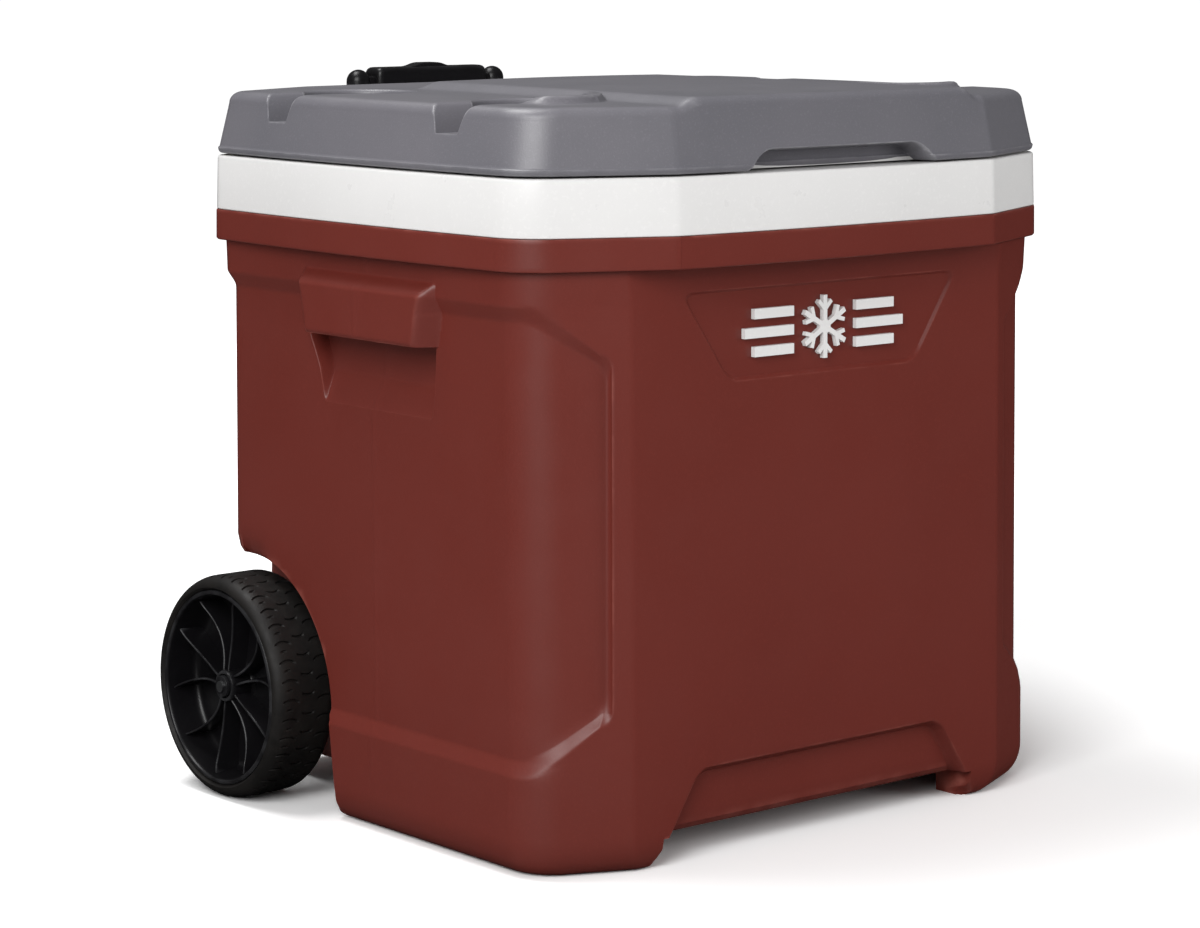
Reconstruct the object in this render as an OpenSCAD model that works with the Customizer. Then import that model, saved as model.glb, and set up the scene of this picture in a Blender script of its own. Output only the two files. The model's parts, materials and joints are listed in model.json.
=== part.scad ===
// Wheeled cooler chest: an insulated tub on two rear wheels, with a hinged lid,
// moulded side grips, a two-stage telescoping pull handle and a drain.
// Millimetres, +Z up. The front faces -Y and the floor is Z = 0.
// X = 0 and Y = 0 are the middle of the footprint, pull handle included. The modules
// measure from the middle of the rim, and placed() moves them to the footprint's middle.

/* [Rim outline] */
// Width across the rim at its four main corners
rim_w = 500; // [490:1:510]
// Depth of the rim between its front and back edges
rim_d = 453; // [446:1:460]
// Width taken by each slanted facet beside the front and back
facet_w = 100; // [90:1:110]
// Depth taken by each slanted facet
facet_d = 46; // [42:1:50]
// How far the side edges of the rim bulge in the middle
side_bow = 7.7; // [4:0.1:9]
// How far the front and back edges of the rim bulge in the middle
front_bow = 5.7; // [3:0.1:7]
// Rounding where a side meets a facet
corner_r = 32; // [24:1:40]
// Rounding where a facet meets the front or back
crease_r = 12; // [6:1:16]

/* [Heights] */
// Underside of the rim flange
flange_z = 403; // [398:1:406]
// Seam between the flange and the white band
band_z = 425.5; // [422:0.5:428]
// Top of the white band
rim_top_z = 465; // [462:0.5:466]
// Lower edge of the lid
lid_z = 466.5; // [466.5:0.1:467]
// Main level of the lid's top
lid_top_z = 511.5; // [509:0.5:513]
// Level of the lid's raised platform and cup rings
platform_z = 519; // [517:0.5:520]
// Clearance under the middle of the body
under_z = 20; // [16:1:22]

/* [Walls] */
// Thickness of the moulded plastic skins
skin = 2.5; // [2:0.1:2.8]
// Gap between parts that lie against each other
gap = 0.2; // [0.1:0.05:0.3]
// Depth of the recess in the side walls
recess_d = 4.6; // [3:0.1:5]
// How far the side walls stand in from the corners of the rim
wall_inset = 9; // [8:0.1:10]

/* [Side grips] */
// Width of the grip block
grip_block_w = 132; // [120:1:138]
// Width of the hand pocket under the block
pocket_w = 142; // [130:1:150]

/* [Wheels] */
// Rolling radius
wheel_r = 80; // [78:0.5:81]
// Height of the axle above the floor, the same as the rolling radius
axle_z = 80; // [78:0.5:81]
// Distance of the axle behind the middle of the rim
axle_y = 149; // [147:0.5:152]
// Outer face of the tyre, from the middle
tyre_x = 270; // [266:1:272]
// Width of the tyre
tyre_w = 52; // [46:1:54]
// Radius of the seat between tyre and rim
tyre_seat_r = 69; // [67:0.5:70]
// Radius of the steel axle
axle_r = 4; // [3.5:0.1:4.5]
// Radius of the wheel arch, whose centre is a little behind and below the axle
arch_r = 100; // [98:0.5:101]
// How far the arch's front edge leans forward on its way down to the floor
arch_lean = 10; // [6:1:12]
// Inner wall of the wheel arch, from the middle
arch_x = 183; // [180:1:186]
// Number of ribs in a wheel
rib_n = 10; // [6:2:12]

/* [Lid] */
// Radius of a cup recess
cup_r = 40; // [36:1:42]
// Radius of the raised ring round a cup
cup_ring_r = 50; // [46:1:50]
// Distance of the cups from the middle, sideways
cup_x = 176; // [172:1:178]
// Distance of the cups from the middle, front to back
cup_y = 100; // [96:1:104]
// Width of the drain notch between a cup and the lid's side
notch_w = 28; // [24:1:32]
// Width of the finger recess in the lid's front edge
finger_w = 151; // [130:1:160]
// Distance of each hinge from the middle
hinge_x = 115; // [112:1:118]

/* [Pull handle] */
// Distance of the tubes behind the middle of the rim
tube_y = 252; // [251.5:0.5:254]
// Distance of each tube from the middle, sideways
tube_x = 67; // [65:1:68]
// Radius of the fixed outer tubes
outer_r = 11; // [11:0.1:11.2]
// Radius of the middle tubes
middle_r = 9; // [8.9:0.1:9]
// Radius of the inner tubes
inner_r = 7; // [6.9:0.1:7]
// Wall thickness of the tubes
tube_wall = 1.1; // [0.9:0.1:1.2]
// Running clearance, on radius, of everything that turns or slides
run = 0.06; // [0.04:0.01:0.09]
// Top of the grip
grip_z = 523; // [521:0.5:524]

/* [Drain] */
// Distance of the drain in front of the middle
drain_y = 60; // [50:1:70]
// Height of the drain
drain_z = 62; // [61:0.5:64]

/* [Hidden] */
$fn = 64;
eps = 0.01;
far = 320;

// Colours
red = [0.42, 0.19, 0.165];
white = [0.92, 0.92, 0.91];
grey = [0.46, 0.455, 0.475];
black = [0.07, 0.07, 0.07];
rubber_black = [0.085, 0.08, 0.075];
steel = [0.62, 0.63, 0.64];
foam_cream = [0.93, 0.88, 0.72];

// The facet as a line: its outward normal and its distance from the origin
facet_a = atan2(facet_d, facet_w);
facet_n = [sin(facet_a), cos(facet_a)];
facet_off = facet_n * [rim_w / 2, rim_d / 2 - facet_d];

// Skin insets from the rim outline: side, facet, front
flange_in = [0, 0, 0];
collar_in = [6, 6, 19.5];
wall_in = [wall_inset, 7.5, 19.5];
recess_in = [wall_inset + recess_d, 7.5 + recess_d, 19.5];
skirt_in = [wall_inset + 1.5, 7.5, 19.5];
foot_in = [27, 25, 31];
cavity_in = [recess_in[0] + skin, recess_in[1] + skin, 19.5 + 2 + skin];
tub_in = [44, 40, 48];
tub_r = 42;
flat = [0, 0];
front_y = rim_d / 2 - 19.5;

// Height range and front edge of the side recess
recess_lo = 71;
recess_hi = 381;
recess_x = 188;

// Logo recess in the front wall
plate_lo = 323;
plate_hi = 384;
plate_depth = 2;

// Hand pocket: its top, its lower edge and how near its top gets to the middle
pocket_top = 345;
pocket_low = 295;
pocket_in_x = 214;

// Recessed side wall and the outer face of the grip block
wall_x = rim_w / 2 - recess_in[0];
block_x = 256.5;

// Centre and top of the wheel arch
arch_y = axle_y + 5;
arch_z = axle_z - 8;
arch_top = arch_z + arch_r;

// Width of the groove for the axle under the tub
groove_w = 20;

// Tub floors: deep in front, raised over the axle, stepped in beside the wheels
floor_z = 46;
step_z = 112;
well_z = 200;
well_y = 36;
well_x = 152;

// Lid outline insets at its bottom, at its shoulder and on top
lid_low_in = [1, 1, 1];
lid_mid_in = [8.3, 8.3, 8.3];
lid_high_in = [15, 15, 15];
lid_mid_z = lid_top_z - 7;
cup_floor_z = lid_top_z - 19.5;
plug_z = lid_z - 9.5;

// Hinge axis
hinge_y = rim_d / 2 + 10;
hinge_z = 503;
hinge_pin_r = 2.5;
knuckle_r = 5.5;
leaf_w = 30;
ear_w = 15;

// Pull handle levels
outer_lo = 34;
outer_hi = 462;
collar_h = 16;
middle_lo = 46;
middle_hi = 484;
inner_lo = 90;
inner_hi = 507;
plug_h = 30;
grip_lo = grip_z - 22;

// Drain
drain_x = 245;
drain_r = 9;
tub_x = rim_w / 2 - tub_in[0];

function unit(v) = v / norm(v);
function turned(v, a) = [v.x * cos(a) - v.y * sin(a), v.x * sin(a) + v.y * cos(a)];

// Corners of the outline, inset by [side, facet, front], anticlockwise
function main_corner(i) =
    let (x = rim_w / 2 - i[0])
    [x, (facet_off - i[1] - facet_n.x * x) / facet_n.y];
function crease_corner(i) =
    let (y = rim_d / 2 - i[2])
    [(facet_off - i[1] - facet_n.y * y) / facet_n.x, y];
function outline_corners(i) =
    let (m = main_corner(i), c = crease_corner(i))
    [[m.x, -m.y], m, c, [-c.x, c.y], [-m.x, m.y], [-m.x, -m.y], [-c.x, -c.y], [c.x, -c.y]];

// Arc that rounds corner b between its neighbours a and c
function rounded_corner(a, b, c, r, steps) =
    let (
        u = unit(a - b),
        v = unit(c - b),
        half = acos(u * v) / 2,
        centre = b + unit(u + v) * r / sin(half),
        start = b + u * r / tan(half) - centre,
        turn = 180 - 2 * half
    )
    [for (s = [0 : steps]) centre + turned(start, turn * s / steps)];

// Points between two places, ends left out
function between(a, b, steps) = [for (s = [1 : steps - 1]) a + (b - a) * s / steps];

// Sideways bulge of the sides and forward bulge of the front and back
function bowed(p, m, c, bow) = [
    p.x + sign(p.x) * bow[0] * max(0, 1 - pow(p.y / m.y, 2)),
    p.y + sign(p.y) * bow[1] * max(0, 1 - pow(p.x / c.x, 2))
];

// Whole outline at inset i; bow is [side, front]
function outline(i, bow = [side_bow, front_bow], r = corner_r, rc = crease_r) =
    let (
        k = outline_corners(i),
        m = main_corner(i),
        c = crease_corner(i),
        arcs = [for (n = [0 : 7])
            rounded_corner(k[(n + 7) % 8], k[n], k[(n + 1) % 8],
                (n == 0 || n == 1 || n == 4 || n == 5) ? r : rc, 5)],
        raw = [for (n = [0 : 7]) each concat(arcs[n],
            (n % 2 == 0) ? between(arcs[n][5], arcs[(n + 1) % 8][0], 8) : [])]
    )
    [for (p = raw) bowed(p, m, c, bow)];

// Upright slab with the outline's shape
module slab(z0, z1, i, bow = [side_bow, front_bow], r = corner_r, rc = crease_r) {
    translate([0, 0, z0]) linear_extrude(z1 - z0) polygon(outline(i, bow, r, rc));
}

// Prism along Y from a profile drawn in X and Z
module along_y(y0, y1) {
    translate([0, y1, 0]) rotate([90, 0, 0]) linear_extrude(y1 - y0) children();
}

// Prism along X from a profile drawn in Y and Z
module along_x(x0, x1) {
    translate([x0, 0, 0]) rotate([90, 0, 90]) linear_extrude(x1 - x0) children();
}

// Cylinder along X
module rod_x(x0, x1, r, y = 0, z = 0) {
    translate([x0, y, z]) rotate([0, 90, 0]) cylinder(h = x1 - x0, r = r);
}

// Cylinder along Y
module rod_y(y0, y1, r, x = 0, z = 0) {
    translate([x, y1, z]) rotate([90, 0, 0]) cylinder(h = y1 - y0, r = r);
}

// Cylinder along Z
module rod_z(z0, z1, r, x = 0, y = 0) {
    translate([x, y, z0]) cylinder(h = z1 - z0, r = r);
}

module box(lo, hi) {
    translate(lo) cube(hi - lo);
}

// Moves a piece from the middle of the rim to the middle of the footprint
module placed() {
    translate([0, (rim_d / 2 + front_bow - tube_y - outer_r - 4) / 2, 0]) children();
}

module both_sides() {
    children();
    mirror([1, 0, 0]) children();
}

// ---------------------------------------------------------------- body

// Space round one wheel, larger by g, open behind and below
module wheel_arch(g) {
    front = arch_y - arch_r - g;
    rod_x(arch_x - g, far, arch_r + g, arch_y, arch_z);
    along_x(arch_x - g, far) polygon([
        [front, arch_z], [front - arch_lean, 0], [front - arch_lean, -1], [far, -1],
        [far, arch_top + g], [arch_y, arch_top + g]
    ]);
}

// Everything outside the recessed side wall, in the height range of the recess
module side_recess() {
    difference() {
        along_y(-far, far) polygon([
            [recess_x, recess_lo + 30], [recess_x, recess_hi - 34], [240, recess_hi],
            [far, recess_hi], [far, recess_lo], [240, recess_lo]
        ]);
        slab(recess_lo - 1, recess_hi + 1, recess_in, flat);
    }
}

module grip_block() {
    along_y(-grip_block_w / 2, grip_block_w / 2) polygon([
        [wall_x - 2, flange_z], [block_x - 5.3, flange_z], [block_x - 5.3, 393], [block_x, 381],
        [block_x, pocket_top + 5], [block_x - 5, pocket_top], [wall_x - 2, pocket_top]
    ]);
}

// Wedge-shaped space for the hand, larger by g
module hand_pocket(g = 0) {
    along_y(-pocket_w / 2 - g, pocket_w / 2 + g) polygon([
        [far, pocket_top + g], [pocket_in_x - g, pocket_top + g],
        [pocket_in_x - g, pocket_top - 8], [wall_x - g, pocket_low - g], [far, pocket_low - g]
    ]);
}

// Step set back into the front wall between the front feet
module front_arch(depth, g = 0) {
    along_y(-far, -front_y + depth + g) polygon([
        [-140 - g, -1], [140 + g, -1], [114 + g, 60 + g], [-114 - g, 60 + g]
    ]);
}

module emblem_recess() {
    along_y(-far, -front_y + plate_depth) polygon([
        [-89, plate_lo], [89, plate_lo], [131, plate_hi], [-131, plate_hi]
    ]);
}

module axle_groove(g = 0) {
    half = arch_x - 5 + g;
    box([-half, axle_y - groove_w / 2 - g, -1],
        [half, axle_y + groove_w / 2 + g, axle_z + 10 + g]);
}

// Outside of the body as one solid
module body_outside() {
    difference() {
        union() {
            slab(flange_z, band_z - gap, flange_in);
            slab(recess_hi, flange_z + 1, collar_in, flat);
            slab(recess_lo, recess_hi + 1, wall_in, flat);
            slab(25, recess_lo + 1, skirt_in, flat);
            hull() {
                slab(24, 25.5, skirt_in, flat);
                slab(8, 8.5, [14, 13, 24], flat);
                slab(1.5, 2, foot_in, flat);
            }
            slab(0, 1.8, foot_in, flat);
            both_sides() grip_block();
            rod_x(wall_x - 2, drain_x, 19, -drain_y, drain_z);
        }
        both_sides() {
            difference() {
                side_recess();
                grip_block();
                rod_x(wall_x - 2, drain_x, 19, -drain_y, drain_z);
            }
            hand_pocket();
            wheel_arch(0);
        }
        emblem_recess();
        front_arch(8);
        box([-204, -171, -1], [204, far, under_z]);
        intersection() {
            front_arch(60);
            box([-150, -far, -1], [150, 0, under_z]);
        }
        axle_groove();
    }
}

// Inside of the body shell, smaller by g
module body_cavity(g = 0) {
    difference() {
        union() {
            slab(under_z + skin + g, flange_z + 3, cavity_in + [g, g, g], flat);
            slab(flange_z + skin + g, band_z - gap + 1, [1, 1, 1] * (3.4 + g));
        }
        both_sides() {
            hand_pocket(skin + g);
            wheel_arch(skin + g);
        }
        front_arch(8, skin + g);
        axle_groove(skin + g);
    }
}

module body_shell() {
    color(red) placed() difference() {
        body_outside();
        body_cavity();
        rod_x(200, far, drain_r + 0.2, -drain_y, drain_z);
        both_sides() rod_x(arch_x - 10, arch_x + 10, 7 + run, axle_y, axle_z);
        bracket_screw_places() rod_y(-30, 4, 2.2);
    }
}

// Space inside the tub; g makes it larger
module tub_space(g, top) {
    slab(well_z - g, top, tub_in - [g, g, g], flat, tub_r);
    intersection() {
        slab(floor_z - g, well_z, tub_in - [g, g, g], flat, tub_r);
        box([-far, -far, 0], [far, well_y + g, far]);
    }
    box([-well_x - g, 0, step_z - g], [well_x + g, rim_d / 2 - tub_in[2] + g, well_z]);
}

module band_skirt() {
    difference() {
        slab(band_z, rim_top_z, [0.3, 0.3, 0.3]);
        slab(band_z - 1, rim_top_z - 3, [3.3, 3.3, 3.3]);
    }
}

module body_liner() {
    color(white) placed() difference() {
        union() {
            band_skirt();
            tub_space(skin, rim_top_z - 1);
        }
        tub_space(0, rim_top_z + 1);
        rod_x(180, far, drain_r + 0.2, -drain_y, drain_z);
        hinge_base_screw_places() rod_y(-8, 4, 1.8);
    }
}

module body_foam() {
    color(foam_cream) placed() difference() {
        union() {
            body_cavity(gap);
            slab(band_z - 2, rim_top_z - 3 - gap, [3.5, 3.5, 3.5]);
        }
        tub_space(skin + gap, rim_top_z);
        rod_x(180, far, drain_r + 0.2, -drain_y, drain_z);
        bracket_screw_places() rod_y(-30, 4, 2.4);
        hinge_base_screw_places() rod_y(-12, 4, 2.2);
    }
}

// Raised snowflake between two sets of bars, in the recess of the front wall
module front_emblem() {
    emblem_t = 3.6;
    middle_z = (plate_lo + plate_hi) / 2;
    color(white) placed() translate([0, -front_y + plate_depth - 0.05, middle_z])
        rotate([90, 0, 0]) linear_extrude(emblem_t) {
            for (a = [0 : 60 : 300]) rotate(a) {
                translate([-1.8, 0]) square([3.6, 22]);
                for (s = [-1, 1]) translate([0, 12]) rotate(45 * s)
                    translate([-1.4, 0]) square([2.8, 8.5]);
            }
            circle(r = 5);
            for (s = [-1, 1], row = [-1, 0, 1])
                translate([s * 30 + (s < 0 ? -46 + 9 * abs(row) : 0), row * 13 - 3.5])
                    square([46 - 9 * abs(row), 7]);
        }
}

// ---------------------------------------------------------------- axle and wheels

module axle() {
    color(steel) placed() rod_x(-tyre_x + 3.5, tyre_x - 3.5, axle_r, axle_y, axle_z);
}

module axle_bushings() {
    color(black) placed() both_sides() difference() {
        union() {
            rod_x(arch_x - 12, arch_x + gap, 7, axle_y, axle_z);
            rod_x(arch_x + gap, arch_x + 3, 12, axle_y, axle_z);
        }
        rod_x(arch_x - 20, arch_x + 20, axle_r + run, axle_y, axle_z);
    }
}

module axle_washers() {
    color(steel) placed() both_sides() difference() {
        rod_x(arch_x + 3.2, arch_x + 4.8, 10, axle_y, axle_z);
        rod_x(arch_x, arch_x + 20, axle_r + run, axle_y, axle_z);
    }
}

module axle_nuts() {
    color(black) placed() both_sides() difference() {
        rod_x(tyre_x - 8.8, tyre_x - 5, 7.6, axle_y, axle_z);
        rod_x(tyre_x - 20, tyre_x, axle_r + 0.02, axle_y, axle_z);
    }
}

// One wheel, drawn with its axis along Z and its outer face up at Z = 0
module wheel_rim_shape() {
    barrel_out = tyre_seat_r - 0.06;
    disc_z = -26;
    difference() {
        union() {
            rotate_extrude() polygon([
                [0, -9], [9, -9], [10, disc_z], [barrel_out - 5.5, disc_z],
                [barrel_out - 2.6, -2], [barrel_out + 0.7, -2], [barrel_out + 0.7, -3.4],
                [barrel_out, -3.4], [barrel_out, -tyre_w + 3], [barrel_out - 3, -tyre_w + 3],
                [barrel_out - 5.5, disc_z - 3], [11, disc_z - 3], [10, -81.8], [0, -81.8]
            ]);
            intersection() {
                for (k = [0 : rib_n - 1])
                    rotate(k * 360 / rib_n + (k % 2 == 0 ? 8 : -8))
                        translate([5, -1.2, disc_z - 1]) cube([barrel_out - 8, 2.4, 16]);
                cylinder(h = 2 * far, r = barrel_out - 2.5, center = true);
            }
        }
        cylinder(h = far, r = axle_r + run, center = true);
    }
}

module tyre_shape() {
    shoulder = 9;
    difference() {
        rotate_extrude() polygon([
            [tyre_seat_r, -5], [tyre_seat_r + 1.4, -2.2], [tyre_seat_r + 4, 0],
            for (a = [90 : -15 : 0]) [
                wheel_r - shoulder + shoulder * cos(a), -shoulder + shoulder * sin(a)],
            for (a = [0 : -15 : -90]) [
                wheel_r - shoulder + shoulder * cos(a), -tyre_w + shoulder + shoulder * sin(a)],
            [tyre_seat_r, -tyre_w]
        ]);
        cylinder(h = far, r = tyre_seat_r, center = true);
    }
}

module at_left_wheel() {
    translate([-tyre_x, axle_y, axle_z]) rotate([0, -90, 0]) children();
}

module left_wheel_rim() {
    color(black) placed() at_left_wheel() wheel_rim_shape();
}

module left_tyre() {
    color(rubber_black) placed() at_left_wheel() tyre_shape();
}

module right_wheel_rim() {
    color(black) placed() mirror([1, 0, 0]) at_left_wheel() wheel_rim_shape();
}

module right_tyre() {
    color(rubber_black) placed() mirror([1, 0, 0]) at_left_wheel() tyre_shape();
}

// ---------------------------------------------------------------- drain

module drain_tube(x0, x1, r) {
    rod_x(x0, x1, r, -drain_y, drain_z);
}

module drain_fitting() {
    color(white) placed() difference() {
        union() {
            drain_tube(tub_x - 10, drain_x + 11, drain_r);
            drain_tube(drain_x + gap, drain_x + 3, 16);
        }
        drain_tube(tub_x - 11, far, drain_r - 2.5);
    }
}

module drain_nut() {
    nut_x = tub_x - 6 - gap;
    color(white) placed() difference() {
        drain_tube(nut_x, nut_x + 6, 14);
        drain_tube(nut_x - 1, nut_x + 7, drain_r + run);
    }
}

module drain_gasket() {
    color(rubber_black) placed() difference() {
        drain_tube(drain_x + 11.2, drain_x + 13.2, drain_r - 0.3);
        drain_tube(drain_x, far, 3);
    }
}

module drain_cap() {
    color(white) placed() difference() {
        union() {
            drain_tube(drain_x + 3.4, drain_x + 16, 13);
            for (k = [0 : 11])
                translate([0, -drain_y, drain_z]) rotate([k * 30, 0, 0])
                    rod_x(drain_x + 4, drain_x + 15, 1.4, 0, 12.8);
        }
        drain_tube(drain_x, drain_x + 13.4, drain_r + run);
    }
}

// ---------------------------------------------------------------- pull handle

module at_tubes() {
    both_sides() translate([tube_x, tube_y, 0]) children();
}

module tube(z0, z1, r) {
    difference() {
        rod_z(z0, z1, r);
        rod_z(z0 - 1, z1 + 1, r - tube_wall);
    }
}

// Guide ring on top of a tube of radius outside for a sliding tube of radius inside
module guide_collar(z1, outside, inside) {
    difference() {
        rod_z(z1 - collar_h, z1 + 4, outside + 2);
        rod_z(z1 - collar_h - 1, z1, outside + run);
        rod_z(z1 - 1, z1 + 5, inside + run);
    }
}

// Slider in the foot of a tube, running inside the next tube out
module foot_plug(z0, inside, running) {
    difference() {
        union() {
            rod_z(z0 - 8, z0 - gap, running);
            rod_z(z0 - gap, z0 + plug_h, inside - 0.05);
        }
        rod_z(z0 - 9, z0 + plug_h + 1, inside - 3);
        translate([0, 0, z0 + 15]) rod_x(-20, 0, 2.05);
    }
}

module lock_pin(z, tube_outside) {
    translate([0, 0, z]) rod_x(-tube_outside + tube_wall + 0.5, -tube_outside + 4.9, 2);
}

module handle_outer_tubes() {
    color(steel) placed() at_tubes() tube(outer_lo, outer_hi, outer_r);
}

module handle_outer_collars() {
    color(black) placed() at_tubes() guide_collar(outer_hi + gap, outer_r, middle_r);
}

module handle_middle_tubes() {
    color(steel) placed() at_tubes() tube(middle_lo, middle_hi, middle_r);
}

module handle_middle_collars() {
    color(black) placed() at_tubes() difference() {
        rod_z(outer_hi + 5, middle_hi + 4, middle_r + 1.6);
        rod_z(outer_hi, middle_hi + gap, middle_r + run);
        rod_z(middle_hi - 1, middle_hi + 5, inner_r + run);
    }
}

module handle_middle_plugs() {
    color(black) placed() at_tubes()
        foot_plug(middle_lo, middle_r - tube_wall, outer_r - tube_wall - run);
}

module lower_lock_pins() {
    color(steel) placed() at_tubes() lock_pin(middle_lo + 15, middle_r);
}

module handle_inner_tubes() {
    color(steel) placed() at_tubes() tube(inner_lo, inner_hi, inner_r);
}

module handle_inner_plugs() {
    color(black) placed() at_tubes()
        foot_plug(inner_lo, inner_r - tube_wall, middle_r - tube_wall - run);
}

module upper_lock_pins() {
    color(steel) placed() at_tubes() lock_pin(inner_lo + 15, inner_r);
}

bracket_y = front_y + gap;

// Four screws of the upper bracket and four of the lower one, drawn about the wall
module bracket_screw_places() {
    both_sides() {
        for (z = [352, 372]) translate([tube_x + 24, front_y, z]) children();
        for (z = [44, 62]) translate([tube_x + 24, front_y, z]) children();
    }
}

module clamp_block(z0, z1, hole_r) {
    difference() {
        union() {
            box([-outer_r - 4, bracket_y - tube_y, z0], [outer_r + 4, 0, z1]);
            rod_z(z0, z1, outer_r + 4);
            box([-outer_r - 22, bracket_y - tube_y, z0], [outer_r + 22, bracket_y - tube_y + 5, z1]);
        }
        rod_z(z0 - 1, z1 + 1, hole_r);
    }
}

module bracket(z0, z1) {
    difference() {
        union() {
            at_tubes() clamp_block(z0, z1, outer_r + run);
            box([-tube_x + 30, bracket_y, z0], [tube_x - 30, bracket_y + 5, z1]);
        }
        bracket_screw_places() rod_y(-2, 20, 2.2);
    }
}

module handle_upper_bracket() {
    color(black) placed() bracket(342, 380);
}

module handle_lower_bracket() {
    color(black) placed() {
        bracket(36, 70);
        at_tubes() difference() {
            rod_z(28, 37, outer_r + 4);
            rod_z(outer_lo - gap, 40, outer_r + run);
        }
    }
}

module bracket_screws() {
    color(steel) placed() bracket_screw_places() {
        rod_y(-16, 5.5, 2);
        rod_y(5.3 + gap, 8, 4.2);
    }
}

// Rounded bar that the hand holds, hollow for the release parts
module handle_grip() {
    half_d = 11;
    grip_half = tube_x - inner_r - 3.3;
    color(black) placed() difference() {
        union() {
            along_x(-grip_half, grip_half) translate([tube_y, grip_lo + half_d]) {
                circle(r = half_d);
                translate([-half_d, -half_d + 4]) square([2 * half_d, 2 * half_d - 8]);
                translate([-half_d + 4, -half_d]) square([2 * half_d - 8, 2 * half_d]);
            }
            at_tubes() rod_z(grip_lo - 6, grip_z - 7, inner_r + 3);
            along_x(-tube_x, tube_x) translate([tube_y - 6, grip_lo + 1]) square([12, 13]);
        }
        at_tubes() rod_z(grip_lo - 8, inner_hi + gap, inner_r + run);
        at_tubes() rod_z(inner_hi - 1, grip_z - 8.6, inner_r - tube_wall);
        box([-tube_x, tube_y - 4.2, grip_lo + 4], [tube_x, tube_y + 4.2, grip_lo + 13.2]);
        box([-22.3, tube_y - 7.3, grip_lo + 4], [22.3, tube_y + 7.3, grip_z + 2]);
        for (s = [-1, 1]) rod_z(grip_lo - 1, grip_lo + 5, 1.55, s * 34, tube_y);
    }
}

module grip_end_caps() {
    color(black) placed() at_tubes() intersection() {
        union() {
            rod_z(grip_z - 6.8, grip_z - 4, inner_r + 3);
            translate([0, 0, grip_z - 11]) sphere(r = inner_r + 3.4);
        }
        rod_z(grip_z - 6.8, grip_z, inner_r + 3);
    }
}

module grip_screws() {
    color(steel) placed() for (s = [-1, 1]) {
        rod_z(grip_lo - 1, grip_lo + 3.8, 1.5, s * 34, tube_y);
        rod_z(grip_lo - 2.4, grip_lo - gap, 3, s * 34, tube_y);
    }
}

// Button that fills the window in the grip's top and stands 3 mm proud
module release_button() {
    color(black) placed() difference() {
        union() {
            box([-22, tube_y - 7, grip_lo + 13], [22, tube_y + 7, grip_z]);
            along_y(tube_y - 7, tube_y + 7) polygon([
                [-22, grip_z - eps], [22, grip_z - eps], [18, grip_z + 2.2], [9, grip_z + 3],
                [-9, grip_z + 3], [-18, grip_z + 2.2]
            ]);
        }
        rod_z(grip_lo + 12, grip_lo + 17, 4);
    }
}

module release_bar() {
    color(steel) placed() difference() {
        box([-tube_x - 4, tube_y - 3, grip_lo + 10], [tube_x + 4, tube_y + 3, grip_lo + 12.8]);
        at_tubes() rod_z(0, far * 2, 1.5 + run);
    }
}

module release_rods() {
    color(steel) placed() at_tubes() {
        rod_z(inner_lo + 40, grip_lo + 12.8, 1.5);
    }
}

// Point j of the wire's section after t turns of a coil
function coil_point(t, j, coil_r, wire_r, pitch, sides) =
    let (a = 360 * t, b = 360 * j / sides, r = coil_r + wire_r * cos(b))
    [r * cos(a), r * sin(a), pitch * t + wire_r * sin(b)];

module coil(coil_r, wire_r, height, turns) {
    per_turn = 16;
    sides = 6;
    steps = per_turn * turns;
    pitch = (height - 2 * wire_r) / turns;
    translate([0, 0, wire_r]) polyhedron(
        points = [for (k = [0 : steps], j = [0 : sides - 1])
            coil_point(k / per_turn, j, coil_r, wire_r, pitch, sides)],
        faces = concat(
            [[for (j = [0 : sides - 1]) j]],
            [for (k = [0 : steps - 1], j = [0 : sides - 1])
                let (n = (j + 1) % sides, a = k * sides, b = a + sides)
                [a + j, b + j, b + n, a + n]],
            [[for (j = [sides - 1 : -1 : 0]) steps * sides + j]]
        )
    );
}

module button_spring() {
    color(steel) placed() translate([0, tube_y, grip_lo + 4.2]) coil(3.2, 0.5, 5.6, 3);
}

// ---------------------------------------------------------------- hinges

module at_hinges() {
    for (s = [-1, 1]) translate([s * hinge_x, hinge_y, hinge_z]) children();
}

module hinge_base_screw_places() {
    for (s = [-1, 1], z = [440, 456])
        translate([s * hinge_x, rim_d / 2 + 3.6, z]) children();
}

// Leaf on the rim with the knuckle on its end
module hinge_bases() {
    leaf_lo = 432;
    color(black) placed() difference() {
        at_hinges() {
            box([-leaf_w / 2, -6.4, leaf_lo - hinge_z], [leaf_w / 2, -3.9, 0]);
            rod_x(-leaf_w / 2, leaf_w / 2, knuckle_r);
        }
        at_hinges() rod_x(-leaf_w, leaf_w, hinge_pin_r + run);
        hinge_base_screw_places() rod_y(-1, 8, 1.8);
    }
}

module hinge_base_screws() {
    color(steel) placed() hinge_base_screw_places() {
        rod_y(-11, 2.8, 1.6);
        rod_y(2.7, 4.6, 3.4);
    }
}

module hinge_pins() {
    color(steel) placed() at_hinges() {
        rod_x(-leaf_w / 2 - ear_w, leaf_w / 2 + ear_w + 0.6, hinge_pin_r);
        rod_x(leaf_w / 2 + ear_w + 0.5, leaf_w / 2 + ear_w + 2, 4);
    }
}

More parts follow.
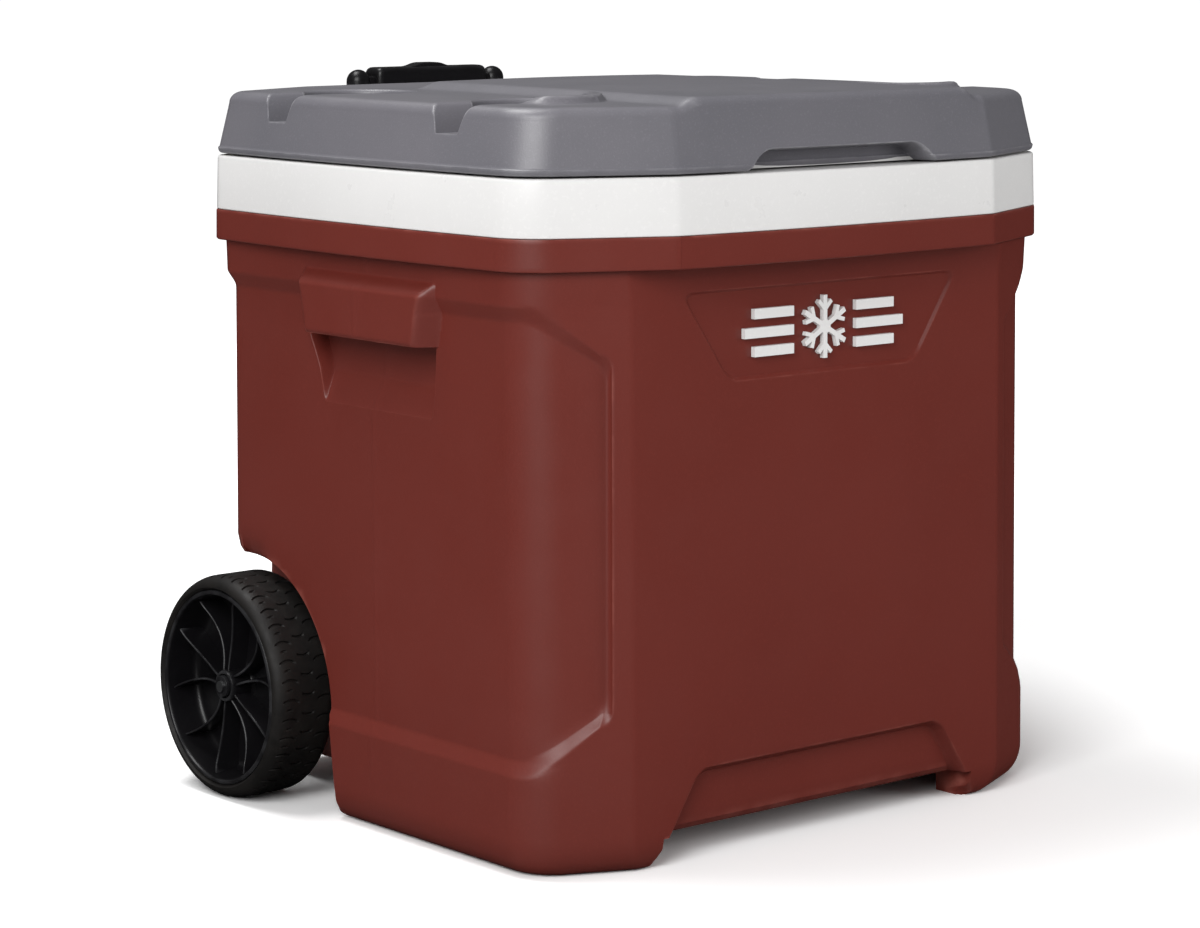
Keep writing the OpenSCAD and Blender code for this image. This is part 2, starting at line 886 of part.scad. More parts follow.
// Wedge against the lid's sloping back, with two ears round the pin
module hinge_lid_ears() {
    half = leaf_w / 2 + ear_w;
    low = lid_z + 4 - hinge_z;
    slope = 7.3 / (lid_mid_z - lid_z);
    back_at_low = rim_d / 2 + 3.2 - hinge_y - slope * 4;
    color(black) placed() difference() {
        at_hinges() {
            along_x(-half, half) polygon([
                [back_at_low, low], [-7, low], [-7, 4], [back_at_low - slope * (4 - low), 4]
            ]);
            for (s = [-1, 1]) translate([s * (half + leaf_w / 2 + 0.4) / 2, 0, 0]) {
                along_x(-ear_w / 2 + 0.2, ear_w / 2 - 0.2) polygon([
                    [-8, -14], [0, -knuckle_r], [0, knuckle_r], [-8, 4]
                ]);
                rod_x(-ear_w / 2 + 0.2, ear_w / 2 - 0.2, knuckle_r);
            }
        }
        at_hinges() rod_x(-half - 1, half + 1, hinge_pin_r + 0.03);
        hinge_lid_screw_places() rod_y(-20, 20, 1.8);
    }
}

module hinge_lid_screw_places() {
    for (s = [-1, 1], k = [-1, 1])
        translate([s * hinge_x + k * (leaf_w / 2 + 7.5), hinge_y - 7, lid_z + 12]) children();
}

module hinge_lid_screws() {
    color(steel) placed() hinge_lid_screw_places() {
        rod_y(-18, 0.5, 1.6);
        rod_y(gap, 2.2, 3.4);
    }
}

// ---------------------------------------------------------------- lid

// Outside of the lid's side wall, smaller by g
module lid_block(g = 0) {
    hull() {
        slab(lid_z, lid_z + eps, lid_low_in + [g, g, g]);
        slab(lid_mid_z, lid_mid_z + eps, lid_mid_in + [g, g, g]);
        slab(lid_top_z - g - eps, lid_top_z - g, lid_high_in + [g, g, g] * 0.6);
    }
}

// Raised platform, wider in front than behind
module platform(g = 0) {
    hull() {
        translate([0, 0, lid_top_z - 6]) linear_extrude(1) polygon([
            [-148 + g, -216 + g], [148 - g, -216 + g], [124 - g, 112 - g], [-124 + g, 112 - g]]);
        translate([0, 0, platform_z - 1 - g]) linear_extrude(1) polygon([
            [-133 + g, -208 + g], [133 - g, -208 + g], [111 - g, 96 - g], [-111 + g, 96 - g]]);
    }
}

module at_cups() {
    for (sx = [-1, 1], sy = [-1, 1]) translate([sx * cup_x, sy * cup_y, 0]) children();
}

// Ring round a cup that slopes down to the outer edge of the lid
module cup_ring() {
    difference() {
        rod_z(lid_top_z - 2, platform_z, cup_ring_r);
        along_y(-far, far) polygon([
            [-8, platform_z + 1], [far, platform_z + 1], [far, lid_top_z], [8, lid_top_z]]);
    }
}

module cup_rings() {
    for (sx = [0, 1], sy = [-1, 1]) mirror([sx, 0, 0])
        translate([cup_x, sy * cup_y, 0]) cup_ring();
}

// Drain notch from a cup out through the lid's side, larger by g
module cup_notches(g = 0) {
    half = notch_w / 2 + g;
    for (sy = [-1, 1]) both_sides()
        box([cup_x, sy * cup_y - half, cup_floor_z - g], [far, sy * cup_y + half, far * 2]);
}

module finger_recess(g = 0) {
    along_y(-far, -rim_d / 2 + 14 + g) polygon([
        [-finger_w / 2 - 13 - g, lid_z - 1], [finger_w / 2 + 13 + g, lid_z - 1],
        [finger_w / 2 + g, lid_z + 13 + g], [-finger_w / 2 - g, lid_z + 13 + g]]);
}

// Space inside the lid's shell, smaller by g
module lid_cavity(g = 0) {
    difference() {
        union() {
            lid_block(skin + g);
            slab(lid_z - 1, lid_z + 1, lid_low_in + [1, 1, 1] * (skin + g));
            platform(skin + g);
        }
        at_cups() rod_z(cup_floor_z - skin - g, far * 2, cup_r + skin + g);
        cup_notches(skin + g);
        finger_recess(skin + g);
    }
}

module lid_shell() {
    color(grey) placed() difference() {
        union() {
            lid_block();
            platform();
            cup_rings();
        }
        lid_cavity();
        at_cups() rod_z(cup_floor_z, far * 2, cup_r);
        cup_notches();
        finger_recess();
        hinge_lid_screw_places() rod_y(-20, 20, 1.8);
    }
}

module lid_foam() {
    color(foam_cream) placed() difference() {
        union() {
            intersection() {
                lid_cavity(gap);
                box([-far, -far, lid_z + skin + 2 * gap], [far, far, far * 2]);
            }
            slab(plug_z + skin + gap, lid_z + 6, tub_in + [6, 6, 6], flat, tub_r);
        }
        hinge_lid_screw_places() rod_y(-20, 20, 2);
    }
}

// Inner panel with the plug that fits into the mouth of the tub
module lid_liner() {
    color(white) placed() difference() {
        union() {
            slab(lid_z, lid_z + skin, [4, 4, 4]);
            slab(plug_z, lid_z + 1, tub_in + [3, 3, 3], flat, tub_r);
        }
        finger_recess(skin + gap);
        slab(plug_z + skin, lid_z + 5, tub_in + [5.7, 5.7, 5.7], flat, tub_r);
    }
}

// ---------------------------------------------------------------- assembly

body_shell();
body_foam();
body_liner();
front_emblem();
axle();
axle_bushings();
axle_washers();
axle_nuts();
left_wheel_rim();
left_tyre();
right_wheel_rim();
right_tyre();
drain_fitting();
drain_nut();
drain_gasket();
drain_cap();
handle_outer_tubes();
handle_outer_collars();
handle_upper_bracket();
handle_lower_bracket();
bracket_screws();
handle_middle_tubes();
handle_middle_collars();
handle_middle_plugs();
lower_lock_pins();
handle_inner_tubes();
handle_inner_plugs();
upper_lock_pins();
handle_grip();
grip_end_caps();
grip_screws();
release_button();
release_bar();
release_rods();
button_spring();
hinge_bases();
hinge_base_screws();
hinge_pins();
hinge_lid_ears();
hinge_lid_screws();
lid_shell();
lid_foam();
lid_liner();
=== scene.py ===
import json
import math

import bmesh
import bpy
import numpy as np
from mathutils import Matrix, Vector


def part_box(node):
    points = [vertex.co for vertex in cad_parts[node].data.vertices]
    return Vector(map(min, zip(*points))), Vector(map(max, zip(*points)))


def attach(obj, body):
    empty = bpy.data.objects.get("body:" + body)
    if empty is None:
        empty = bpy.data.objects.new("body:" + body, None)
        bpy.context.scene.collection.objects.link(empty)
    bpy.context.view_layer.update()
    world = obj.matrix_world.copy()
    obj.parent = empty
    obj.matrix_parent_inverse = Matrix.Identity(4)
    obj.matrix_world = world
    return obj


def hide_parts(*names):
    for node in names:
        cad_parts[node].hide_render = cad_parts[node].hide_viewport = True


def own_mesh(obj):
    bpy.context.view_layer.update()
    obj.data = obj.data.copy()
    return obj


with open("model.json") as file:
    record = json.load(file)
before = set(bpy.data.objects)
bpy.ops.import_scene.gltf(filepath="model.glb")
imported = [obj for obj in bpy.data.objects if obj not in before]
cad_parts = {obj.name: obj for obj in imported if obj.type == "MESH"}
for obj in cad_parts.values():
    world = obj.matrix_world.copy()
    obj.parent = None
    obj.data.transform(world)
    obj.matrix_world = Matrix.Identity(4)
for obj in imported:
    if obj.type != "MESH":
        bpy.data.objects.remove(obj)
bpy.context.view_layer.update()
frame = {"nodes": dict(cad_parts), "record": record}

# Shapes are drawn in millimetres about the middle of the rim, at floor height.
# place() turns them into metres in the frame. The front faces -Y.

# ---- places from the frame


def box_mm(node):
    lo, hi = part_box(node)
    return np.array(lo) * 1000, np.array(hi) * 1000


shell_top = box_mm("body_shell")[1][2]
liner_lo, liner_hi = box_mm("body_liner")
lid_lo, lid_hi = box_mm("lid_shell")
tyre_lo, tyre_hi = box_mm("left_tyre")
MID_Y = (liner_lo[1] + liner_hi[1]) / 2

# The rim seen from above: bowed sides, a flat facet across each corner, and rounded turns
SIDE_BOW = 6.2
FRONT_BOW = 5.7
BOWED = (SIDE_BOW, FRONT_BOW)
STRAIGHT = (0, 0)
BAND_IN = 0.3
HALF_W = liner_hi[0] - SIDE_BOW + BAND_IN
HALF_D = liner_hi[1] - MID_Y - FRONT_BOW + BAND_IN
FACET_W = 100.0
FACET_D = 46.0
CORNER_R = 37.0
REAR_CORNER = 0.42
CREASE_R = 12.0

# Heights of the white band, the lid and the body's flange
BAND_Z = shell_top + 0.2
RIM_TOP_Z = liner_hi[2]
LID_Z = lid_lo[2]
FLANGE_Z = BAND_Z - 22.5
PLATFORM_Z = lid_hi[2]
LOW_TOP_Z = PLATFORM_Z - 7.5

FACET_A = math.atan2(FACET_D, FACET_W)
FACET_N = (math.sin(FACET_A), math.cos(FACET_A))
FACET_OFF = FACET_N[0] * HALF_W + FACET_N[1] * (HALF_D - FACET_D)
CORNER_TURN = math.pi / 2 - FACET_A

AXLE_Y = (tyre_lo[1] + tyre_hi[1]) / 2 - MID_Y
AXLE_Z = (tyre_lo[2] + tyre_hi[2]) / 2
WHEEL_R = (tyre_hi[2] - tyre_lo[2]) / 2
TYRE_OUT = -tyre_lo[0]
TYRE_W = tyre_hi[0] - tyre_lo[0]


def place(points):
    """Metres in the frame from millimetres about the middle of the rim."""
    p = np.asarray(points, float)
    return (p + np.array([0, MID_Y, 0])) / 1000


# ---- small helpers


def ramp(t, soft=0.22):
    """0 to 1 as t goes from 0 to 1: straight, with its two ends eased over the share soft."""
    t = np.clip(t, 0, 1)
    k = 1 / (1 - soft)
    low = k * t * t / (2 * soft)
    high = 1 - k * (1 - t) ** 2 / (2 * soft)
    return np.where(t < soft, low, np.where(t > 1 - soft, high, k * (t - soft / 2)))


def smooth_min(a, b, k):
    h = np.clip(0.5 + 0.5 * (b - a) / k, 0, 1)
    return b + (a - b) * h - k * h * (1 - h)


def smooth_max(a, b, k):
    return -smooth_min(-a, -b, k)


def spread(*knots):
    """Places along a line: each knot is (place, steps to the next one)."""
    out = []
    for (a, n), (b, _) in zip(knots[:-1], knots[1:]):
        out += [a + (b - a) * i / n for i in range(n)]
    return np.array(out + [knots[-1][0]], float)


def mesh_piece(name, points, faces):
    """A smooth-shaded mesh object from points in metres."""
    mesh = bpy.data.meshes.new(name)
    mesh.from_pydata([tuple(p) for p in points], [], [tuple(int(i) for i in f) for f in faces])
    mesh.update()
    mesh.polygons.foreach_set("use_smooth", [True] * len(mesh.polygons))
    piece = bpy.data.objects.new(name, mesh)
    bpy.context.scene.collection.objects.link(piece)
    return piece


WELD = 0.00001


def tidy(piece, sharp=40.0):
    """Welds doubles, points the faces outwards and marks edges sharper than an angle."""
    b = bmesh.new()
    b.from_mesh(piece.data)
    bmesh.ops.remove_doubles(b, verts=b.verts, dist=WELD)
    bmesh.ops.dissolve_degenerate(b, edges=b.edges, dist=WELD / 2)
    bmesh.ops.recalc_face_normals(b, faces=b.faces)
    for e in b.edges:
        e.smooth = not (len(e.link_faces) == 2 and e.calc_face_angle(0) > math.radians(sharp))
    for f in b.faces:
        f.smooth = True
    b.to_mesh(piece.data)
    b.free()
    return piece


def apply_modifiers(piece):
    dg = bpy.context.evaluated_depsgraph_get()
    mesh = bpy.data.meshes.new_from_object(piece.evaluated_get(dg))
    piece.modifiers.clear()
    piece.data = mesh
    return piece


def carve(piece, cutters, operation="DIFFERENCE"):
    """Cuts closed solids out of a piece, or joins them to it, and removes the cutters."""
    for cutter in cutters:
        m = piece.modifiers.new("cut", "BOOLEAN")
        m.operation = operation
        m.solver = "MANIFOLD"
        m.object = cutter
        bpy.context.view_layer.update()
        apply_modifiers(piece)
        bpy.data.objects.remove(cutter)
    return piece


def ring_faces(rows, columns):
    """Faces of a grid of rings that close on themselves."""
    r, c = np.meshgrid(np.arange(rows - 1), np.arange(columns), indexing="ij")
    a = r * columns + c
    b = r * columns + (c + 1) % columns
    return np.stack([a, b, b + columns, a + columns], -1).reshape(-1, 4)


def loft(name, rings, sharp=40.0):
    """Closed solid through rings of points, an array of (rows, columns, 3) in millimetres."""
    rows, columns = rings.shape[:2]
    faces = [list(f) for f in ring_faces(rows, columns)]
    faces.append(list(range(columns - 1, -1, -1)))
    faces.append([(rows - 1) * columns + i for i in range(columns)])
    return tidy(mesh_piece(name, place(rings.reshape(-1, 3)), faces), sharp)


def flat_ring(x, y, z):
    """Points of one level ring."""
    return np.stack([x, y, np.full(x.shape, z)], -1)


def quarter(steps):
    """Angles from 0 to a right angle."""
    return np.linspace(0, math.pi / 2, steps)


def rounding(r, steps):
    """Quarter round as (inwards, upwards) pairs, from the foot of an edge up to its face."""
    return [(r * (1 - math.sin(a)), r * (1 - math.cos(a))) for a in quarter(steps)]


def lathe(name, profile, steps, axis="Z", centre=(0, 0, 0)):
    """Closed solid of revolution: profile is a list of (radius, height) from one pole to the other."""
    a = np.linspace(0, 2 * math.pi, steps, endpoint=False)
    p = np.array([flat_ring(r * np.cos(a), r * np.sin(a), h) for r, h in profile])
    if axis == "X":
        p = p[..., [2, 0, 1]]
    return loft(name, p + np.array(centre))


def rod(name, radius, start, end, steps, axis="Z", centre=(0, 0, 0)):
    """Plain round solid from start to end along its axis, for cutting bores."""
    return lathe(name, [(0, start), (radius, start), (radius, end), (0, end)], steps, axis, centre)


def block(name, lo, hi):
    """Solid box between two corners."""
    (x0, y0, z0), (x1, y1, z1) = lo, hi
    rings = [[(x0, y0, z), (x1, y0, z), (x1, y1, z), (x0, y1, z)] for z in (z0, z1)]
    return loft(name, np.array(rings, float))


# ---- outline of rim and walls

SIDE, CORNER, FACET, CREASE, FRONT = range(5)


class Columns:
    """The upright lines of a lofted wall, listed once for a quarter and mirrored to all four.
    Side and front places are in millimetres from the middle, the others are shares of 0 to 1."""

    def __init__(self, side, corner, facet, crease, front, side_keep, front_keep):
        uprights = [(SIDE, v) for v in side]
        uprights += [(CORNER, v) for v in np.linspace(0, 1, corner + 1)[1:]]
        uprights += [(FACET, v) for v in facet]
        uprights += [(CREASE, v) for v in np.linspace(0, 1, crease + 1)]
        uprights += [(FRONT, v) for v in front]
        n = len(uprights)
        order = [(1, 1, k) for k in range(n)]
        order += [(-1, 1, k) for k in range(n - 2, -1, -1)]
        order += [(-1, -1, k) for k in range(1, n)]
        order += [(1, -1, k) for k in range(n - 2, 0, -1)]
        self.sx, self.sy, index = np.array(order).T
        self.region, self.value = np.array(uprights).T[:, index]
        self.side_keep, self.side_end = side_keep, max(side)
        self.front_keep, self.front_end = front_keep, max(front)


def stretched(v, keep, end, new_end):
    """Places up to keep stay; those from keep to end are spread as far as new_end."""
    return np.where(v <= keep, v, keep + (v - keep) / (end - keep) * (new_end - keep))


def outline(cols, inset, bow, r=CORNER_R, rc=CREASE_R, value=None, rear=REAR_CORNER):
    """X and Y of every column, at an inset of (side, facet, front); r and rc are the turns' radii,
    and the rear corners turn tighter by the share rear. Arrays broadcast to (rows, columns)."""
    r = np.where(cols.sy > 0, r * rear, r)
    side, facet, front = inset
    v = cols.value if value is None else value
    mx = HALF_W - side
    my = (FACET_OFF - facet - FACET_N[0] * mx) / FACET_N[1]
    cy = HALF_D - front
    cx = (FACET_OFF - facet - FACET_N[1] * cy) / FACET_N[0]
    t1 = r * math.tan(CORNER_TURN / 2)
    t2 = rc * math.tan(FACET_A / 2)
    along = np.array([-FACET_N[1], FACET_N[0]])
    share = np.clip(v, 0, 1)
    a1 = share * CORNER_TURN
    a2 = CORNER_TURN + share * FACET_A
    start = (mx + along[0] * t1, my + along[1] * t1)
    end = (cx - along[0] * t2, cy - along[1] * t2)
    xs = [mx + 0 * v, mx - r + r * np.cos(a1), start[0] + (end[0] - start[0]) * share,
          cx - t2 + rc * np.cos(a2), stretched(v, cols.front_keep, cols.front_end, cx - t2)]
    ys = [stretched(v, cols.side_keep, cols.side_end, my - t1), my - t1 + r * np.sin(a1),
          start[1] + (end[1] - start[1]) * share, cy - rc + rc * np.sin(a2), cy + 0 * v]
    shape = np.broadcast(mx, my, cx, cy, v, r).shape
    pick = [np.broadcast_to(cols.region == k, shape) for k in range(5)]
    x = np.select(pick, [np.broadcast_to(x, shape) for x in xs])
    y = np.select(pick, [np.broadcast_to(y, shape) for y in ys])
    x2 = x + bow[0] * np.maximum(0, 1 - (y / my) ** 2)
    y2 = y + bow[1] * np.maximum(0, 1 - (x / cx) ** 2)
    return x2 * cols.sx, y2 * cols.sy


def rim_line(cols, inset, r=CORNER_R):
    """The bowed outline at one inset all round."""
    return outline(cols, (inset,) * 3, BOWED, r=r)


# ---- body shell

COLLAR_LO = 381.0
RECESS_TOP = 367.0
RECESS_LOW = 78.0
SKIRT_TOP = 66.0
FOOT_H = 25.0
UNDER_Z = 20.0
RECESS_DEPTH = 4.6
RECESS_X = 187.0
BLOCK_HALF = 65.5
BLOCK_MID = -5.5
BLOCK_TAPER = 1.77
BLOCK_X = 256.5
POCKET_TOP = 344.5
POCKET_LOW = 295.0
POCKET_IN_X = 225.0
SLOPE_TOP = 390.0
SLOT_TOP = 372.0
PLATE_TOP = 384.0
PLATE_LOW = 323.0
PLATE_DEPTH = 2.2
FRONT_IN = 19.5
ARCH_DEPTH = 8.0
ARCH_TOP = 60.0

body_cols = Columns(
    side=spread((0, 2), (3, 8), (48, 10), (60, 16), (68, 2), (70, 14), (77, 9), (115, 8), (148, 0)),
    corner=12,
    facet=spread((0.03, 8), (0.36, 22), (0.72, 7), (0.97, 0)),
    crease=6,
    front=spread((158, 5), (126, 6), (118, 14), (104, 4), (92, 12), (0, 0)),
    side_keep=100, front_keep=150)

# Row heights where features start and end: on the sides, at the facets' inner end, on the front
HEIGHT_SIDE = [0, 25, 40, 52, 64, 80, 291, 299, 310, 320, 340, 352, 364.5, 383.5, 388, 394, 403]
HEIGHT_FACET = [0, 25, 42, 58, 93, 109, 285, 292, 306, 314, 326, 334, 339.5, 357.5, 378, 387, 403]
HEIGHT_FRONT = [0, 25, 54, 66, 92, 108, 290, 300, 318, 328, 340, 350, 360, 370, 380, 388, 403]
HEIGHT_STEPS = [12, 5, 10, 3, 16, 24, 8, 3, 8, 4, 16, 3, 20, 5, 8, 4]


def body_heights(w_facet, w_front):
    """Row heights at each column, as (rows, columns)."""
    ref = spread(*[(HEIGHT_SIDE[i], HEIGHT_STEPS[i]) for i in range(16)], (HEIGHT_SIDE[16], 0))
    ref[: HEIGHT_STEPS[0] + 1] = FOOT_H * (1 - np.cos(quarter(HEIGHT_STEPS[0] + 1)))
    rows = []
    for side in ref:
        facet = np.interp(side, HEIGHT_SIDE, HEIGHT_FACET)
        front = np.interp(side, HEIGHT_SIDE, HEIGHT_FRONT)
        rows.append(side + (facet - side) * w_facet + (front - facet) * w_front)
    return np.array(rows)


def side_inset(z):
    """How far the side wall stands in from the rim's corner line, at a height."""
    wall = np.interp(z, [RECESS_LOW, RECESS_TOP], [15.2, 12.0])
    skirt = np.interp(z, [FOOT_H, SKIRT_TOP], [11.0, 10.5])
    low = ramp((z - SKIRT_TOP) / (RECESS_LOW - SKIRT_TOP))
    high = ramp((z - RECESS_TOP) / (COLLAR_LO - RECESS_TOP))
    return skirt + (wall - skirt) * low + (6.0 - wall) * high


def recess_share(x, z):
    """1 inside the facets' part of the recess, 0 outside, with an 8 mm slope between."""
    top = np.interp(x, [196, 237], [349, COLLAR_LO])
    low = np.interp(x, [196, 237], [99, SKIRT_TOP])
    slant = 0.77
    d = smooth_min((top - z) * slant, (z - low) * slant, 6)
    d = smooth_min(d, x - RECESS_X, 9)
    return ramp(d / 8.5)


def logo_share(x, z):
    """1 inside the trapezoid for the emblem, 0 outside."""
    half = np.interp(z, [PLATE_LOW, PLATE_TOP], [89, 131])
    d = smooth_min(PLATE_TOP - z, z - PLATE_LOW, 3)
    d = smooth_min(d, (half - x) * 0.82, 9)
    return ramp(d / 2.6 + 0.5, 0.4)


def arch_share(x, z):
    """1 inside the step between the front feet, 0 outside."""
    half = np.interp(z, [0, UNDER_Z, ARCH_TOP], [153, 140, 114])
    d = smooth_min(ARCH_TOP - z, (half - x) * 0.84, 9)
    return ramp(d / 6.5 + 0.5, 0.3)


def edge_x(z):
    """Where the slanted ends of the emblem's recess and of the front step run."""
    return np.interp(z, [0, UNDER_Z, ARCH_TOP, PLATE_LOW, PLATE_TOP], [150, 140, 114, 89, 131])


def bend(v, knots, places):
    """Moves each value the way its knots move: in straight shares between one knot and the next."""
    out = v
    for a, b, pa, pb in zip(knots, knots[1:], places, places[1:]):
        out = np.where((v >= a) & (v <= b), pa + (v - a) / (b - a) * (pb - pa), out)
    return out


def body_values(cols, z):
    """Column places at each height: lines near a slanted feature edge follow it."""
    v = np.broadcast_to(cols.value, z.shape)
    pocket = pocket_end(cols, z) - 0.9
    grip_end = BLOCK_HALF + np.where(cols.sy < 0, -1, 1) * BLOCK_MID
    t = np.clip((z - POCKET_TOP + 2) / 10, 0, 1)
    places = [low + (high - low) * t for low, high in
              ((pocket - 12, grip_end - 8), (pocket - 3, grip_end - 3.5), (pocket - 2, grip_end - 2),
               (pocket + 1.5, grip_end + 15))]
    side = bend(v, (0, 60, 68, 70, 77, 115), (0, *places, 115))
    front = bend(v, (0, 104, 118, 158), (0, edge_x(z) - 7, edge_x(z) + 7, 158))
    v = np.where(np.broadcast_to(cols.region == SIDE, z.shape), side, v)
    return np.where(np.broadcast_to(cols.region == FRONT, z.shape), front, v)


def pocket_end(cols, z):
    """Where the pocket's front and rear ends stand at the wall, at each height."""
    front = np.interp(z, [POCKET_LOW, 313, 341], [70.5, 73.5, 75.0])
    rear = np.interp(z, [POCKET_LOW, 318, 326, 341], [56.0, 61.5, 65.0, 73.0])
    return np.where(cols.sy < 0, front, rear)


def grip_profile(z):
    """Outer face of the grip block, at a height: sloping top, upright face, rounded foot."""
    run = (BLOCK_X - HALF_W + 6) / (SLOPE_TOP - COLLAR_LO)
    top = smooth_min(BLOCK_X, HALF_W - 6 + run * (SLOPE_TOP - z), 2.5)
    r = 4.0
    h = np.clip(POCKET_TOP + r - z, 0, r)
    return np.where(z > POCKET_TOP + r, top, BLOCK_X - (r - np.sqrt(np.maximum(0, r * r - h * h))))


def make_body():
    cols = body_cols
    ax = np.abs(outline(cols, (11, 10, FRONT_IN), STRAIGHT)[0])
    facetish = np.isin(cols.region, [CORNER, FACET])
    w_facet = np.where(facetish, np.clip((238 - ax) / 42, 0, 1), 0.0)
    w_facet = np.where(np.isin(cols.region, [CREASE, FRONT]), 1.0, w_facet)
    w_front = np.where(cols.region == FRONT, np.clip((176 - ax) / 24, 0, 1), 0.0)
    z = body_heights(w_facet, w_front)
    value = body_values(cols, z)

    bx, by = outline(cols, (side_inset(z), 8.0, FRONT_IN), STRAIGHT, value=value)
    x = np.abs(bx)
    facet_in = np.interp(z, [30, 380, FLANGE_Z], [8.2, 7.5, 6.0]) + RECESS_DEPTH * recess_share(x, z)
    front = np.broadcast_to((cols.sy < 0) & (cols.region >= CREASE), z.shape)
    steps_in = PLATE_DEPTH * logo_share(x, z) + ARCH_DEPTH * arch_share(x, z)
    front_in = FRONT_IN + np.where(front, steps_in, 0)
    foot = 1 - np.sqrt(np.maximum(0, 1 - (1 - np.clip(z / FOOT_H, 0, 1)) ** 2))
    toe = np.where(front, arch_share(x, z), 0)
    lip = np.clip((UNDER_Z + 9 - z) / 9, 0, 1)
    under = (1 - np.sqrt(np.maximum(0, 1 - lip ** 2))) * 8
    side_in = side_inset(z) + 17 * foot
    facet_in = facet_in + 18 * foot
    front_in = front_in + np.where(toe > 0.5, under, 13 * foot)
    r = CORNER_R - 6 * foot
    px, py = outline(cols, (side_in, facet_in, front_in), STRAIGHT, r=r, value=value)

    # side grips
    on_side = np.broadcast_to(cols.region == SIDE, z.shape)
    ay = np.abs(py)
    foot_y = np.interp(z, [POCKET_TOP, COLLAR_LO - 14], [BLOCK_HALF + 7, BLOCK_HALF + 11.5])
    ax = np.abs(px)
    slant = (foot_y - np.abs(py - BLOCK_MID)) * BLOCK_TAPER
    block = smooth_max(smooth_min(grip_profile(z) - ax, slant, 5.0), 0.0 * z, 1.5) - 0.375
    ax = ax + np.where(on_side & (z > POCKET_TOP), np.maximum(block, 0), 0)
    scoop = ramp((pocket_end(cols, z) - ay) / 1.9, 0.25)
    depth = smooth_min((z - POCKET_LOW) / 21 * 0.82, 0.82 + (z - 316) / 28 * 0.18, 0.05)
    wall = ax - (ax - POCKET_IN_X) * np.clip(depth, 0, 1) * scoop
    ax = np.where(on_side & (z <= POCKET_TOP), wall, ax)
    ridge = np.where(on_side, 0.35 * np.exp(-((py + 2) / 0.7) ** 2), 0)
    ax = ax + ridge * np.clip((z - FOOT_H) / 20, 0, 1)
    px = np.sign(px) * ax

    # rounded lower edge of the rear corners, above the wheel openings
    lift = np.clip((184 - z) / 11, 0, 1)
    fade = np.clip((ax - 186) / 10, 0, 1) * np.clip((by - 132) / 25, 0, 1)
    tuck = np.where(z > 150, (1 - np.sqrt(np.maximum(0, 1 - lift ** 2))) * 9, 0) * fade
    nx = np.where(on_side, 1.0, FACET_N[0])
    ny = np.where(on_side, 0.0, FACET_N[1])
    px = px - np.sign(px) * nx * tuck
    py = py - np.sign(py) * ny * tuck

    rings = [np.stack([px, py, z], -1)]
    rings += flange_rings(cols, px[-1], py[-1])
    return loft("body_shell_moulding", np.concatenate(rings), sharp=30)


def flange_rings(cols, wall_x, wall_y):
    """The flange round the top of the body, from the wall out to its edge and up to the band."""
    out_x, out_y = rim_line(cols, 0.0)
    rows = []
    for t, rise in ((0.06, 0.4), (0.3, 0.0), (0.6, 0.0), (0.85, 0.0)):
        rows.append((wall_x + (out_x - wall_x) * t, wall_y + (out_y - wall_y) * t, FLANGE_Z + rise))
    for d, rise in rounding(1.6, 7):
        rows.append((*rim_line(cols, d), FLANGE_Z + rise))
    for z in np.linspace(FLANGE_Z + 4, BAND_Z - 1.2, 8):
        rows.append((out_x, out_y, z))
    edge = 0.6
    for a in (math.pi / 4, math.pi / 2):
        rows.append((*rim_line(cols, edge * (1 - math.cos(a))), BAND_Z - 0.8 + edge * math.sin(a)))
    for d in (2.0, 4.0):
        rows.append((*rim_line(cols, d), BAND_Z - 0.2))
    return [np.stack([np.broadcast_to(c, wall_x.shape) for c in row], -1)[None] for row in rows]


ARCH_Y = AXLE_Y + 5
ARCH_Z = AXLE_Z - 8
ARCH_R = 100.0
ARCH_IN = 183.0
OUTSIDE = 330.0


def arch_cutter(side, grow=0.0):
    """Space round a wheel, open to the rear and below. Its edges at the wall are eased."""
    stations = [(0, -6), (0.8, -3), (2.4, -1), (6, 0), (48, 0), (49.5, 0.25), (51, 0.9), (52, 1.7),
                (52.8, 2.6), (53.6, 2.8), (55, 3.0), (56, 3.8), (57, 5.2), (62, 5.4), (120, 5.4)]
    if grow:
        stations = [(-grow, grow), (120, grow)]
    a = np.radians(np.linspace(180, 90, 46))
    rings = []
    for dx, e in stations:
        r = ARCH_R + e
        y = list(ARCH_Y + r * np.cos(a)) + [OUTSIDE, OUTSIDE, ARCH_Y - r - 12]
        z = list(ARCH_Z + r * np.sin(a)) + [ARCH_Z + r, -20, -20]
        rings.append([(side * (ARCH_IN + dx), yy, zz) for yy, zz in zip(y, z)])
    return loft("arch_cutter", np.array(rings))


def under_cutter():
    """Space under the body between its feet: wide at the rear, narrower between the front feet."""
    half, feet, front, feet_y = 204, 148, -OUTSIDE, -171
    t = [(-feet, front), (feet, front), (feet, feet_y), (half, feet_y),
         (half, OUTSIDE), (-half, OUTSIDE), (-half, feet_y), (-feet, feet_y)]
    return loft("under_cutter", np.array([[(x, y, z) for x, y in t] for z in (-10, UNDER_Z)], float))


def groove_cutter(grow=0.0):
    """The channel that holds the axle."""
    x, y = 178 + grow, 10 + grow
    return block("groove_cutter", (-x, AXLE_Y - y, -10), (x, AXLE_Y + y, 90 + grow))


plain_cols = Columns(side=spread((0, 10), (150, 0)), corner=8, facet=spread((0.06, 4), (0.94, 0)),
                     crease=4, front=spread((150, 12), (0, 0)), side_keep=20, front_keep=20)


def plain_rings(rows, bow=STRAIGHT, r=CORNER_R, rear=REAR_CORNER, cols=plain_cols):
    """Level rings from (inset triple, height) rows."""
    return np.array([flat_ring(*outline(cols, inset, bow, r=r, rear=rear), z) for inset, z in rows])


